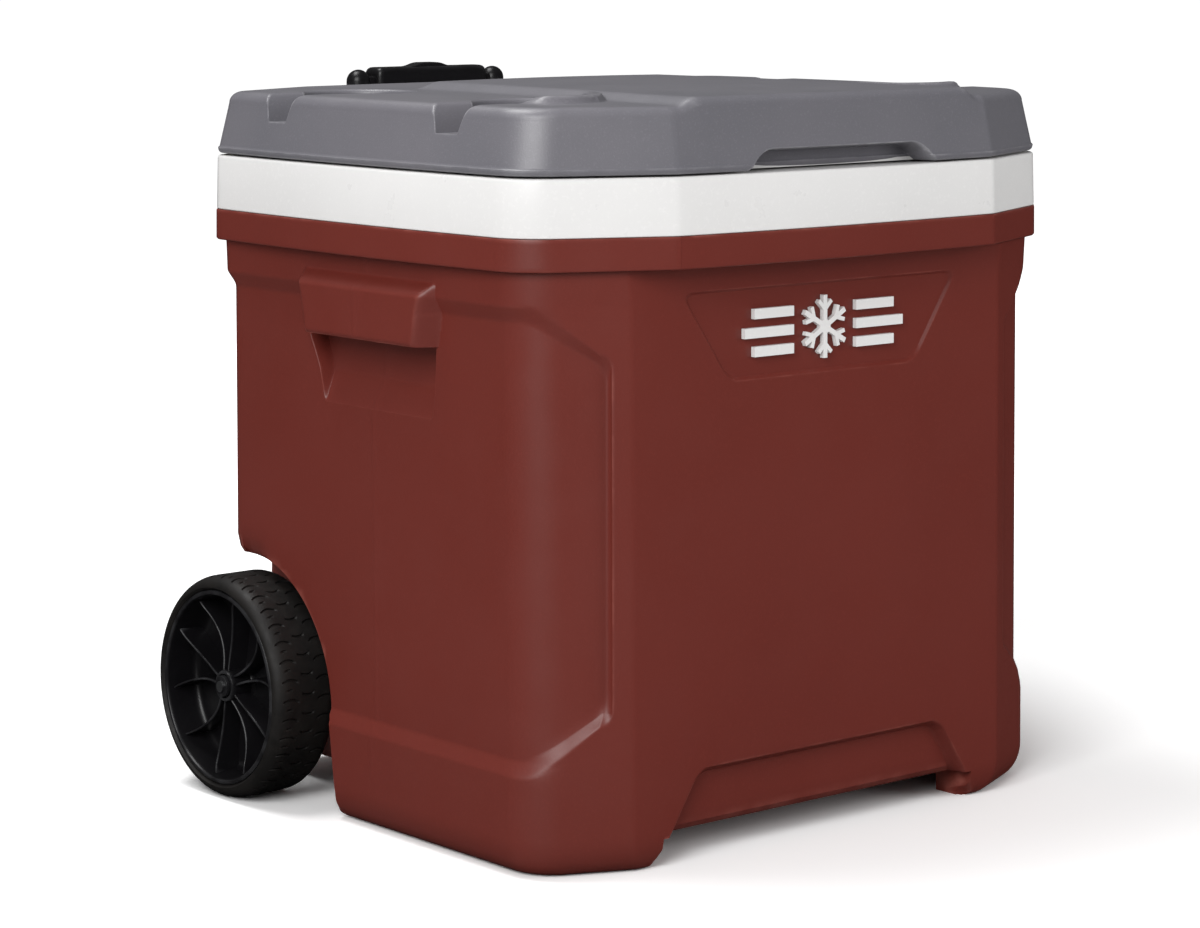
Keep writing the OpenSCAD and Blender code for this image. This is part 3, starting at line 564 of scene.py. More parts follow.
def tub_rings(rows):
    """The same for the tub, whose four corners are alike."""
    return plain_rings(rows, r=TUB_R, rear=1.0)


# Thickness of the mouldings, and how far the foam stays clear of them
SKIN = 2.5
LAID = 0.3


def body_cavity(g=0.0):
    """The space between shell and tub, which the foam fills, smaller by g."""
    low = (HALF_W - 232.0 + g, 15.0 + g, 31.0 + g)
    high = (3.3 + g,) * 3
    top_z = RIM_TOP_Z - 3 - g if g else BAND_Z + 10
    wall = SKIN + g
    rings = plain_rings([(low, UNDER_Z + wall), (low, FLANGE_Z + wall)])
    top = plain_rings([(high, FLANGE_Z + wall + 0.1), (high, top_z)], BOWED)
    keep = [arch_cutter(1, wall + 9), arch_cutter(-1, wall + 9), groove_cutter(wall)]
    for s in (-1, 1):
        x0, x1 = sorted((s * (POCKET_IN_X - wall), s * OUTSIDE))
        keep.append(block("pocket", (x0, -84, POCKET_LOW - 6), (x1, 84, SLOT_TOP + wall)))
    return carve(loft("cavity", np.concatenate([rings, top])), keep)


DRAIN_AT = (0, -60.0, 62.0)


def drain_hole(radius):
    return rod("drain_hole", radius, 180, 300, 40, "X", DRAIN_AT)


def make_body_foam():
    """The filling between shell and tub, a little clear of both."""
    filling = carve(body_cavity(LAID), tub_solids(SKIN + LAID) + [drain_hole(9.6)])
    filling.name = "insulation_body"
    return tidy(filling)


def finish_body(body):
    """Adds the drain's boss and cuts the inside, the wheel spaces, the grips' slots and the bores."""
    drain_x = box_mm("drain_fitting")[1][0] - 11
    boss = [(0, 228), (21.5, 228), (21.5, drain_x - 5.5), (20.4, drain_x - 4), (19.4, drain_x - 2),
            (18.6, drain_x - 0.7), (17.4, drain_x), (0, drain_x)]
    carve(body, [lathe("boss", boss, 48, "X", DRAIN_AT)], "UNION")
    carve(body, [body_cavity(), arch_cutter(1), arch_cutter(-1), under_cutter(), groove_cutter()])
    for s in (-1, 1):
        x0, x1 = sorted((s * (POCKET_IN_X + 0.6), s * (BLOCK_X - 6)))
        carve(body, [block("behind_grip", (x0, -66, POCKET_TOP - 1), (x1, 56, SLOT_TOP))])
    carve(body, [drain_hole(9.2)])
    for s in (-1, 1):
        low = s * ARCH_IN - 12
        carve(body, [rod("bush", 7.06, low, low + 24, 32, "X", (0, AXLE_Y, AXLE_Z))])
    return tidy(body, sharp=28)


# ---- white band and tub

TUB_IN = (44.0, 40.0, 48.0)
TUB_R = 42.0
FLOOR_Z = 46.0
STEP_Z = 112.0
WELL_Z = 200.0
WELL_Y = 36.0
WELL_X = 152.0


def tub_solids(grow):
    """The three parts of the tub's space: the wide top, the deep front and the step over the axle."""
    arcs = rounding(12.0, 7)

    def inset(d):
        return tuple(v - grow + d for v in TUB_IN)

    top = [(inset(d), WELL_Z - grow + h) for d, h in arcs]
    if grow:
        top += [(inset(0), RIM_TOP_Z - 3)]
    else:
        r = 5.0
        top += [(inset(-r * (1 - math.cos(a))), RIM_TOP_Z - r + r * math.sin(a)) for a in quarter(7)]
        top += [(inset(-r - 0.3), RIM_TOP_Z + 6)]
    rows = [(inset(d), FLOOR_Z - grow + h) for d, h in arcs] + [(inset(0), WELL_Z + 20)]
    rings = tub_rings(rows)
    for ring, (d, _) in zip(rings, arcs + [(0, 0)]):
        ring[:, 1] = np.minimum(ring[:, 1], WELL_Y + grow - d)
    step_lo = (-WELL_X - grow, -20, STEP_Z - grow)
    step_hi = (WELL_X + grow, HALF_D - TUB_IN[2] + grow - 0.05, WELL_Z + 20)
    return [loft("tub_top", tub_rings(top)), loft("tub_deep", rings), block("tub_step", step_lo, step_hi)]


def make_liner():
    """The white band round the rim and the tub inside it, in one moulding."""
    rows = [((3.3,) * 3, RIM_TOP_Z - 3), ((3.3,) * 3, BAND_Z)]
    rows += [((BAND_IN + d,) * 3, BAND_Z + rise) for d, rise in rounding(1.1, 5)]
    r = 2.0
    rows += [((0.8 + r * (1 - math.cos(a)),) * 3, RIM_TOP_Z - r + r * math.sin(a)) for a in quarter(6)]
    rows += [((8.0,) * 3, RIM_TOP_Z), ((20.0,) * 3, RIM_TOP_Z)]
    fine = Columns(side=spread((0, 26), (148, 0)), corner=12, facet=spread((0.04, 10), (0.96, 0)), crease=6,
                   front=spread((150, 26), (0, 0)), side_keep=20, front_keep=20)
    piece = loft("rim_band_and_tub", plain_rings(rows, BOWED, cols=fine))
    carve(piece, tub_solids(SKIN), "UNION")
    carve(piece, tub_solids(0) + [drain_hole(9.2)])
    return tidy(piece, sharp=28)


# ---- lid

SHOULDER = 8.5
SIDE_SLOPE = 0.19
CUP_X = 176.0
CUP_Y = 100.0
CUP_R = 40.0
RING_R = 50.0
NOTCH_Z = LOW_TOP_Z - 19.5
FINGER_Z = LID_Z + 13.0
FINGER_DEPTH = 20.0
LID_EDGE_H = 4.2
LID_EDGE_IN = 2.4

lid_cols = Columns(
    side=spread((0, 18), (76, 20), (90, 9), (110, 20), (124, 10), (158, 0)),
    corner=14, facet=spread((0.03, 24), (0.97, 0)), crease=7,
    front=spread((146, 16), (98, 26), (66, 22), (0, 0)), side_keep=126, front_keep=110)


def lid_levels(x, y):
    """The lid's low margin and high platform at a place, and the share of the platform there."""
    crown = 1.6 * (1 - (x / 150) ** 2) * (1 - (y / 230) ** 2)
    high = PLATFORM_Z - 1.6 + np.maximum(crown, 0)
    low = LOW_TOP_Z + 0.6 * (1 - (y / 230) ** 2)
    half = np.interp(y, [-208, 96], [134, 113])
    return low, high, ramp(np.minimum((half + 9 - np.abs(x)) / 15, (108 - y) / 15), 0.25)


def lid_height_plain(x, y):
    """The lid's top without rings and notches, for the height of its side walls."""
    low, high, platform = lid_levels(x, y)
    return low + (high - low) * platform


def lid_height(x, y):
    """Top of the lid: low margins, a raised platform, rings round the cups and notches beside them."""
    low, high, platform = lid_levels(x, y)
    ax, ay = np.abs(x), np.abs(y)
    rho = np.hypot(ax - CUP_X, ay - CUP_Y)
    ring = ramp((RING_R + 2 - rho) / 4, 0.35) * ramp((CUP_X + 34 - ax) / 14, 0.3) * ramp((4 - CUP_Y - y) / 14)
    z = low + (high - low) * np.clip(smooth_max(platform, ring, 0.06), 0, 1)
    off = np.abs(ay - CUP_Y)
    rise = np.clip((off - 11.5) / 12.5, 0, 1)
    notch = NOTCH_Z + 21 * (1 - (1 - rise) ** 2.2) + np.maximum(0, off - 22) * 1.5
    return smooth_min(z, np.where(ax > CUP_X, notch, 999), 2.5)


def finger_share(x, z, grow):
    """1 inside the finger recess of the lid's front, 0 outside; grow makes it wider and higher."""
    half = np.interp(z, [LID_Z, FINGER_Z], [90, 76.5]) + grow
    d = smooth_min(FINGER_Z + grow + 1.6 - z, (half - np.abs(x)) * 0.72, 7)
    return ramp(d / 4.0, 0.35)


def lid_solid(grow):
    """The lid's outside as a closed solid, smaller by grow."""
    cols = lid_cols
    front = (cols.sy < 0) & (cols.region >= CREASE)
    base = 1.0 + grow
    low_z = LID_Z if grow == 0 else LID_Z - 3 - LID_EDGE_H
    rings = []

    def side_ring(inset, z):
        x, y = rim_line(cols, inset)
        if z < FINGER_Z + 8:
            y = y + np.where(front, FINGER_DEPTH * finger_share(x, np.full(x.shape, z), grow), 0)
        return x, y

    for d, rise in rounding(1.0, 8) if grow == 0 else [(0.0, 1.0)]:
        z = low_z + LID_EDGE_H * rise
        rings.append(flat_ring(*side_ring(base + LID_EDGE_IN * d, z), z))
    top_side = LOW_TOP_Z - SHOULDER
    edge_top = lid_height_plain(*rim_line(cols, 15.0))
    heights = spread((low_z + LID_EDGE_H + 1, 4), (FINGER_Z - 4.5, 16), (FINGER_Z + 3, 3),
                     (NOTCH_Z - 4, 14), (top_side, 0))
    for z in heights:
        x, y = side_ring(base + SIDE_SLOPE * (z - LID_Z), z)
        share = np.clip((z - FINGER_Z - 8) / (top_side - FINGER_Z - 8), 0, 1)
        lifted = z + (edge_top - LOW_TOP_Z) * share
        if z > NOTCH_Z - 8:
            lifted = np.minimum(lifted, lid_height(x, y) - 0.3 * (top_side - z) / top_side)
        rings.append(np.stack([x, y, lifted - grow * np.clip((z - NOTCH_Z) / 10, 0, 1)], -1))
    shoulder_in = base + SIDE_SLOPE * (top_side - LID_Z)
    for a in quarter(9)[1:]:
        x, y = rim_line(cols, shoulder_in + SHOULDER * (1 - math.cos(a)))
        z = np.minimum(edge_top - SHOULDER * (1 - math.sin(a)), lid_height(x, y))
        rings.append(np.stack([x, y, z - grow], -1))
    last = shoulder_in + SHOULDER
    insets = spread((last + 1.5, 26), (last + 54, 0))
    top = [rim_line(cols, d, max(CORNER_R - 0.3 * (d - last), 14)) for d in insets]
    x, y = rim_line(cols, last + 54, 14)
    top += [(x * s, y * s) for s in spread((0.985, 76), (0.012, 0))]
    rings += [np.stack([x, y, lid_height(x, y) - grow], -1) for x, y in top]
    return loft("lid_shell_moulding" if grow == 0 else "lid_inside", np.array(rings), sharp=45)


def cup_cutter(cx, cy, grow=0.0):
    """Cup space whose rounded rim follows the height of the lid round it."""
    a = np.linspace(0, 2 * math.pi, 96, endpoint=False)
    floor = NOTCH_Z - grow
    foot = 5.0
    lip = 3.0

    def circle(r):
        return cx + r * np.cos(a), cy + r * np.sin(a)

    if grow:
        rings = [flat_ring(*circle(CUP_R + grow), z) for z in (floor, PLATFORM_Z + 20)]
        return loft("cup_cutter", np.array(rings))
    rings = [flat_ring(*circle(CUP_R * 0.5), floor)]
    for t in quarter(6):
        rings.append(flat_ring(*circle(CUP_R - foot + foot * math.sin(t)), floor + foot - foot * math.cos(t)))
    for t in quarter(7):
        x, y = circle(CUP_R + lip * (1 - math.cos(t)))
        z = lid_height(x, y) - lip * (1 - math.sin(t)) + 0.05
        rings.append(np.stack([x, y, np.maximum(z, floor + foot + 0.2 * t)], -1))
    x, y = circle(CUP_R + lip + 0.6)
    rings.append(np.stack([x, y, np.maximum(lid_height(x, y) + 0.6, floor + foot + 2)], -1))
    rings.append(flat_ring(x, y, PLATFORM_Z + 12))
    return loft("cup_cutter", np.array(rings))


def cup_cutters(grow=0.0):
    return [cup_cutter(sx * CUP_X, sy * CUP_Y, grow) for sx in (-1, 1) for sy in (-1, 1)]


def make_lid_foam():
    """The filling of the lid, with the plug that reaches down into the inner panel."""
    low = LID_Z + SKIN + LAID
    filling = carve(lid_solid(SKIN + LAID), cup_cutters(SKIN + LAID))
    carve(filling, [block("below", (-400, -400, LID_Z - 20), (400, 400, low))])
    inset = tuple(v + 6.0 for v in TUB_IN)
    plug_z = box_mm("lid_liner")[0][2] + SKIN + LAID
    carve(filling, [loft("plug", tub_rings([(inset, plug_z), (inset, LID_Z + 6)]))], "UNION")
    filling.name = "insulation_lid"
    return tidy(filling)


def make_lid():
    """The lid's outer shell, hollow, with its four cups."""
    lid = lid_solid(0)
    inside = carve(lid_solid(SKIN), cup_cutters(SKIN))
    return tidy(carve(lid, cup_cutters() + [inside]), sharp=45)


# ---- wheels

SEAT_R = 69.0
SHOULDER_R = 8.5
SHOULDER_W = 13.0
RIBS = 10
RIB_FOOT = 28
SIPES = 36
SIPE_DEPTH = 1.3


def wheel_place(side, r, a, h):
    """Point at a radius and angle of a wheel, h inwards from its outer face; the angle starts at +Z."""
    return np.stack([side * (TYRE_OUT - h), AXLE_Y + r * np.sin(a), AXLE_Z + r * np.cos(a)], -1)


def closed_grid(name, points):
    """Solid from a grid of points that closes on itself both ways."""
    rows, columns = points.shape[:2]
    faces = ring_faces(rows + 1, columns) % (rows * columns)
    return tidy(mesh_piece(name, place(points.reshape(-1, 3)), faces), sharp=50)


def arc(r, h, dr, dh, start, end, steps):
    """Points of a quarter ellipse as (radius, depth)."""
    out = []
    for t in np.linspace(math.radians(start), math.radians(end), steps):
        out.append((r + dr * math.cos(t), h - dh * math.sin(t)))
    return out


def tyre_section():
    """(radius, depth) round the tyre: side face, tread and inner face."""
    lip = [(SEAT_R, 4.6), (SEAT_R + 0.5, 3.4), (SEAT_R + 1.2, 2.3), (SEAT_R + 2.0, 1.2)]
    face = [(SEAT_R + 2.6, 0.5), (WHEEL_R - SHOULDER_R + 0.4, 0.15)]
    outer = arc(WHEEL_R - SHOULDER_R, SHOULDER_W, SHOULDER_R, SHOULDER_W, 78, 0, 12)
    tread = [(WHEEL_R, h) for h in np.linspace(SHOULDER_W + 0.9, TYRE_W - 9.9, 36)]
    inner = arc(WHEEL_R - 8, TYRE_W - 9, 8, 9, 0, -90, 8)
    return np.array(lip + face + outer + tread + inner + [(SEAT_R + 1, TYRE_W), (SEAT_R, TYRE_W - 1)])


def dashes(h, spans):
    """1 inside the spans of depth, 0 outside."""
    out = 0 * h
    for lo, hi in spans:
        out = out + ramp((h - lo) / 1.3) * ramp((hi - h) / 1.3)
    return out


def make_tyre(name, side):
    """Tyre whose sipes are dashes along a wave across the tread, two sets of them in turn."""
    section = tyre_section()
    pitch = 2 * math.pi * WHEEL_R / SIPES
    across = np.array([-1.0, -0.55, 0.55, 1.0, 2.3, 3.5, 4.8])
    groove = np.array([0, 1, 1, 0, 0, 0, 0])
    r, h = section[:, 0:1], section[:, 1:2]
    wave = 2.4 * np.sin((h - 4) / (TYRE_W - 8) * 3 * math.pi) * np.clip((r - SEAT_R - 2) / 8, 0, 1)
    first = dashes(h, [(5.5, 18.5), (34, 46)])
    second = dashes(h, [(9, 13), (21, 31.5)])
    columns, depth = [], []
    for k in range(SIPES):
        for half, mask in ((0, first), (0.5, second)):
            for c, g in zip(across, groove):
                columns.append(((k + half) * pitch + c + wave) / WHEEL_R)
                depth.append(g * mask * SIPE_DEPTH)
    a = np.concatenate(columns, 1)
    return closed_grid(name, wheel_place(side, r - np.concatenate(depth, 1), a, np.broadcast_to(h, a.shape)))


def rim_section():
    """(radius, depth) round the rim: lip, barrel, disc, hub with its bore, and back."""
    lip = [(69.6, 3.3), (69.6, 2.0), (69.0, 1.3), (68.0, 1.0), (67.0, 1.2), (66.4, 2.0), (66.1, 3.4)]
    barrel = [(65.8, 5.0), (65.0, 12), (64.0, 21), (63.2, 24.4), (61.4, 26.3), (58.6, 27.0)]
    disc = [(50, 27.3), (38, 27.6), (26, 27.0), (16, 25.8), (13.2, 25.0), (12.0, 23.6)]
    hub = [(11.6, 12), (11.4, 8.4), (10.8, 7.4), (9.9, 7.1), (8.9, 7.4), (8.4, 8.2), (8.3, 9.2), (8.0, 9.4)]
    bore = [(4.07, 9.4), (4.07, 81.8), (9.6, 81.8), (10.2, 81.2), (11, 32), (14, 30.2)]
    back = [(58, 30.2), (61.5, 31.4), (63.4, 34), (65.6, 48.4), (66.2, 49), (68.94, 49), (68.94, 3.6)]
    return np.array(lip + barrel + disc + hub + bore + back)


def rib(side, k):
    """Thin rib that leaves the hub beside its partner and curves away from it towards the barrel."""
    pair = math.radians(90 - 82 + 72 * (k // 2)) * -1
    turn = 1 if k % 2 else -1
    half = [(0.4, 0), (0.85, 0.4), (1.0, 1.2), (1.2, None)]
    section = [(-c, drop) for c, drop in reversed(half)] + half
    rings = []
    for t in np.linspace(0, 1, 22):
        r = 10.2 + 54.6 * t
        off = turn * (3.0 + 18.0 * max(0, (r - 9) / 54) ** 2)
        top = 9.6 + 3.2 * math.sin(math.pi * min(1, t * 1.1)) - 3.4 * t ** 3
        ring = []
        for c, drop in section:
            h = RIB_FOOT if drop is None else top + drop
            y, z = off + c, math.sqrt(max(r * r - off * off, 1))
            ring.append((side * (TYRE_OUT - h), AXLE_Y + y * math.cos(pair) - z * math.sin(pair),
                         AXLE_Z + y * math.sin(pair) + z * math.cos(pair)))
        rings.append(ring)
    return loft("rib", np.array(rings))


def make_rim(name, side):
    a = np.linspace(0, 2 * math.pi, 128, endpoint=False)[None, :]
    section = rim_section()
    r, h = section[:, 0:1], section[:, 1:2]
    rim = closed_grid(name, wheel_place(side, r + 0 * a, a + 0 * r, h + 0 * a))
    carve(rim, [rib(side, k) for k in range(RIBS)], "UNION")
    return tidy(rim, sharp=38)


# ---- pull handle's grip and button

button_lo, button_hi = box_mm("release_button")
inner_lo, inner_hi = box_mm("handle_inner_tubes")
GRIP_Y = (inner_lo[1] + inner_hi[1]) / 2 - MID_Y
TUBE_R = (inner_hi[1] - inner_lo[1]) / 2
TUBE_X = inner_hi[0] - TUBE_R
GRIP_TOP = box_mm("handle_grip")[1][2]
GRIP_LOW = GRIP_TOP - 22.0
GRIP_HALF = 54.5
GRIP_D = 11.0
KNOB_R = TUBE_R + 2.3
BUTTON_X = button_hi[0]
BUTTON_D = (button_hi[1] - button_lo[1]) / 2
BUTTON_LOW = button_lo[2]
BUTTON_TOP = button_hi[2]


def rounded_section(half_y, low, high, power, steps=40):
    """Closed rounded outline across the grip as (y, z)."""
    a = np.linspace(0, 2 * math.pi, steps, endpoint=False)
    y = np.sign(np.cos(a)) * np.abs(np.cos(a)) ** (2 / power) * half_y
    z = np.sign(np.sin(a)) * np.abs(np.sin(a)) ** (2 / power) * (high - low) / 2 + (high + low) / 2
    return GRIP_Y + y, z


def bar(name, stations, power):
    """Solid along X through rounded sections: stations are (x, half depth, low, high)."""
    rings = []
    for x, half_y, low, high in stations:
        y, z = rounded_section(half_y, low, high, power)
        rings.append(np.stack([np.full(len(y), x), y, z], -1))
    return loft(name, np.array(rings))


def make_grip():
    """Bar with rounded ends, and at each end a round post with a domed top that takes the tube."""
    stations = [(x - GRIP_HALF, GRIP_D - d, GRIP_LOW + d, GRIP_TOP - d) for d, x in rounding(5.0, 9)]
    stations += [(x, GRIP_D, GRIP_LOW, GRIP_TOP) for x in (-44, -36)]
    stations += [(x, GRIP_D + 1.0, GRIP_LOW, GRIP_TOP) for x in (-28, -22, -10)]
    stations += [(-x, d, low, high) for x, d, low, high in reversed(stations)]
    grip = bar("pull_grip", stations, 4.5)
    solids = [bar("link", [(x, 6.4, GRIP_LOW + 1, GRIP_TOP - 6.8) for x in (-TUBE_X, TUBE_X)], 5)]
    dome_z = GRIP_TOP - 1.5 - KNOB_R
    profile = [(0, GRIP_LOW - 6), (KNOB_R - 1, GRIP_LOW - 6), (KNOB_R, GRIP_LOW - 5), (KNOB_R, dome_z)]
    profile += [(KNOB_R * math.cos(t), dome_z + KNOB_R * math.sin(t)) for t in np.linspace(0.12, 1.5, 12)]
    profile += [(0, GRIP_TOP - 1.5)]
    for s in (-1, 1):
        solids.append(lathe("post", profile, 48, centre=(s * TUBE_X, GRIP_Y, 0)))
    carve(grip, solids, "UNION")
    low = GRIP_LOW + 4
    button_x, button_y = BUTTON_X + 0.3, BUTTON_D + 0.3
    window = (button_x, GRIP_Y + button_y, GRIP_TOP + 4)
    space = [block("rods", (-TUBE_X, GRIP_Y - 4.2, low), (TUBE_X, GRIP_Y + 4.2, low + 9.2)),
             block("window", (-button_x, GRIP_Y - button_y, low), window)]
    for s in (-1, 1):
        tube_at = (s * TUBE_X, GRIP_Y, 0)
        space.append(rod("bore", TUBE_R + 0.15, GRIP_LOW - 9, inner_hi[2] + 0.2, 40, centre=tube_at))
        space.append(rod("pilot", 1.55, GRIP_LOW - 2, GRIP_LOW + 5, 20, centre=(s * 34, GRIP_Y, 0)))
    return tidy(carve(grip, space), sharp=35)


def make_button():
    """Push button in the middle of the grip: a soft crown along its top."""
    stations = []
    for t in np.linspace(-1, 1, 33):
        crown = (BUTTON_TOP - GRIP_TOP) * float(ramp((1 - abs(t)) / 0.75, 0.45))
        round_off = 1.2 * max(0, (abs(t) - 0.95) / 0.05) ** 2
        stations.append((t * BUTTON_X, BUTTON_D, BUTTON_LOW, GRIP_TOP + crown - round_off))
    seat = rod("spring_seat", 4, BUTTON_LOW - 1, BUTTON_LOW + 4, 32, centre=(0, GRIP_Y, 0))
    return tidy(carve(bar("push_button", stations, 9), [seat]), sharp=35)


SPRING_R = 3.2
WIRE_R = 0.5
SPRING_TURNS = 4

spring_lo, spring_hi = box_mm("button_spring")


def make_spring():
    """Coil under the button, from the floor of its window up to the bar."""
    low, high = spring_lo[2] + WIRE_R, spring_hi[2] - WIRE_R
    rings = []
    for t in np.linspace(0, 1, SPRING_TURNS * 24 + 1):
        a = 2 * math.pi * SPRING_TURNS * t
        z = low + (high - low) * t
        ring = []
        for c in np.linspace(0, 2 * math.pi, 10, endpoint=False):
            r = SPRING_R + WIRE_R * math.cos(c)
            ring.append((r * math.cos(a), GRIP_Y + r * math.sin(a), z + WIRE_R * math.sin(c)))
        rings.append(ring)
    return loft("coil", np.array(rings))


# ---- materials


def linear(r, g, b):
    """Display colour of 0 to 255 as linear values."""
    out = []
    for v in (r, g, b):
        v /= 255
        out.append(v / 12.92 if v <= 0.04045 else ((v + 0.055) / 1.055) ** 2.4)
    return (*out, 1.0)


class Shader:
    """Short ways to add procedural nodes to a material or a world. An input is a value or an output."""

    def __init__(self, owner):
        owner.use_nodes = True
        self.owner = owner
        self.nodes = owner.node_tree.nodes
        self.place = self.add("ShaderNodeTexCoord").outputs["Object"]

    def feed(self, socket, value):
        if isinstance(value, (int, float, tuple)):
            socket.default_value = value
        else:
            self.owner.node_tree.links.new(value, socket)

    def add(self, kind, inputs=None, **settings):
        node = self.nodes.new(kind)
        for key, value in settings.items():
            setattr(node, key, value)
        for key, value in (inputs or {}).items():
            self.feed(node.inputs[key], value)
        return node

    def stretch(self, scale):
        return self.add("ShaderNodeMapping", {"Scale": scale, "Vector": self.place}).outputs["Vector"]

    def noise(self, scale, detail=2.0, roughness=0.5, vector=None):
        inputs = {"Scale": scale, "Detail": detail, "Roughness": roughness, "Vector": vector or self.place}
        return self.add("ShaderNodeTexNoise", inputs).outputs["Fac"]

    def cells(self, scale):
        return self.add("ShaderNodeTexVoronoi", {"Scale": scale, "Vector": self.place}).outputs["Distance"]

    def remap(self, source, low, high, to_low, to_high):
        inputs = {"Value": source, "From Min": low, "From Max": high, "To Min": to_low, "To Max": to_high}
        return self.add("ShaderNodeMapRange", inputs).outputs["Result"]

    def math(self, operation, a, b):
        return self.add("ShaderNodeMath", {0: a, 1: b}, operation=operation).outputs[0]

    def mix(self, share, a, b):
        return self.add("ShaderNodeMix", {"Factor": share, 6: a, 7: b}, data_type="RGBA").outputs[2]

    def bump(self, height, distance, strength=1.0, under=None):
        inputs = {"Height": height, "Distance": distance, "Strength": strength}
        if under:
            inputs["Normal"] = under
        return self.add("ShaderNodeBump", inputs).outputs["Normal"]

    def edges(self, low, high):
        """1 on convex edges, 0 elsewhere."""
        return self.remap(self.add("ShaderNodeNewGeometry").outputs["Pointiness"], low, high, 0, 1)

    def finish(self, **inputs):
        """Sets the Principled shader's inputs and gives the material."""
        for key, value in inputs.items():
            self.feed(self.nodes["Principled BSDF"].inputs[key.replace("_", " ")], value)
        return self.owner


def moulded(name, colour, deep, rough, grain, grain_depth, speckle=0.12, edge_wear_and_highlight=None, shine=0.45, marks=0.07):
    """Moulded plastic: soft colour drift, fine grain, uneven gloss, faint rubbed marks, and convex edges
    lightened both as wear and as painted highlight.
    """
    s = Shader(bpy.data.materials.new(name))
    drift = s.remap(s.noise(7, 3), 0.35, 0.65, 0, 1)
    tone = s.mix(drift, deep, colour)
    fine = s.noise(grain * 0.7, 1)
    lighter = tuple(min(1, c * (1 + speckle)) for c in colour[:3]) + (1,)
    tone = s.mix(s.remap(fine, 0.56, 0.74, 0, 0.8), tone, lighter)
    # Convex edges are mixed toward a lighter colour: partly edge wear, partly a painted highlight along the
    # edges.
    if edge_wear_and_highlight:
        edge_wear_and_highlight_share = s.math("MULTIPLY", s.edges(0.515, 0.56), s.remap(s.noise(60, 4), 0.4, 0.65, 0.15, 0.8))
        tone = s.mix(edge_wear_and_highlight_share, tone, edge_wear_and_highlight)
    scuffs = s.noise(1.0, 3, 0.6, s.stretch((18, 18, 260)))
    gloss = s.remap(s.noise(28, 4, 0.6), 0.3, 0.7, rough - 0.035, rough + 0.035)
    gloss = s.math("ADD", gloss, s.remap(scuffs, 0.66, 0.8, 0, marks))
    grains = s.bump(s.noise(grain, 2, 0.55), grain_depth, 0.8)
    wave = s.bump(s.noise(9, 1), 0.00035, 0.35, grains)
    return s.finish(Base_Color=tone, Roughness=gloss, Normal=wave, Specular_IOR_Level=shine)


def red_plastic():
    # The last colour is the lighter tone of the convex edges: wear, and painted highlight.
    return moulded("brick_red_polyethylene", linear(107, 42, 34), linear(104, 40, 32), 0.42, 900, 0.00006,
                   0.08, linear(150, 84, 74))


def lid_plastic():
    # The last colour is the lighter tone of the convex edges: wear, and painted highlight.
    return moulded("grey_grained_lid", linear(108, 106, 112), linear(102, 101, 107), 0.44, 1100, 0.00016,
                   0.14, linear(165, 164, 168), 0.75)


def white_plastic():
    return moulded("white_gloss_liner", linear(224, 223, 222), linear(220, 219, 218), 0.30, 500, 0.00002,
                   0.02, marks=0.01)


def black_plastic():
    # The last colour is the lighter tone of the convex edges: wear, and painted highlight.
    return moulded("black_moulded_plastic", linear(17, 16, 18), linear(13, 12, 14), 0.33, 800, 0.00005,
                   0.3, linear(60, 60, 62), 0.3)


def foam():
    s = Shader(bpy.data.materials.new("cream_rigid_foam"))
    pits = s.cells(650)
    tone = s.mix(s.remap(pits, 0.0, 0.7, 0, 1), linear(214, 196, 150), linear(240, 228, 192))
    return s.finish(Base_Color=tone, Roughness=0.85, Normal=s.bump(pits, 0.0006, 0.7))


def rubber(name, base, rough):
    s = Shader(bpy.data.materials.new(name))
    dust = s.remap(s.noise(30, 5, 0.7), 0.45, 0.75, 0, 0.35)
    tone = s.mix(dust, base, linear(48, 44, 40))
    gloss = s.remap(s.noise(160, 3), 0.3, 0.7, rough - 0.05, rough + 0.08)
    grain = s.bump(s.noise(1500, 2), 0.00012, 0.6)
    return s.finish(Base_Color=tone, Roughness=gloss, Normal=grain, Specular_IOR_Level=0.3)


def steel(name, tint, rough, lengthwise):
    """Plated steel with drawn streaks along Z or X."""
    s = Shader(bpy.data.materials.new(name))
    scale = (900, 900, 12) if lengthwise == "Z" else (12, 900, 900)
    streaks = s.noise(1.0, 4, 0.6, s.stretch(scale))
    spots = s.remap(s.noise(45, 5, 0.7), 0.62, 0.75, 0, 0.5)
    tone = s.mix(s.remap(streaks, 0.3, 0.7, 0, 1), tuple(c * 0.86 for c in tint[:3]) + (1,), tint)
    tone = s.mix(spots, tone, linear(120, 112, 100))
    gloss = s.remap(streaks, 0.3, 0.7, rough - 0.06, rough + 0.08)
    grain = s.bump(streaks, 0.00003, 0.5)
    return s.finish(Base_Color=tone, Metallic=1.0, Roughness=gloss, Normal=grain)


STEEL_X = steel("plated_steel_rod", linear(170, 171, 173), 0.34, "X")
SLOT_MATERIAL = {
    "red_shell": red_plastic(),
    "grey_lid": lid_plastic(),
    "white_plastic": white_plastic(),
    "black_plastic": black_plastic(),
    "foam": foam(),
    "tyre_rubber": rubber("tyre_rubber", linear(20, 18, 17), 0.55),
    "seal_rubber": rubber("seal_rubber", linear(16, 16, 17), 0.6),
    "steel": steel("plated_steel_tube", linear(176, 178, 180), 0.3, "Z")}
ALONG_X = ("axle", "axle_washers", "hinge_pins", "release_bar")


SOFTENED = (
    "front_emblem", "axle_bushings", "axle_nuts", "axle_washers", "drain_fitting", "drain_nut", "drain_cap",
    "handle_outer_collars", "handle_upper_bracket", "handle_lower_bracket", "handle_middle_collars",
    "hinge_bases", "hinge_lid_ears", "bracket_screws", "hinge_base_screws", "hinge_lid_screws", "lid_liner")


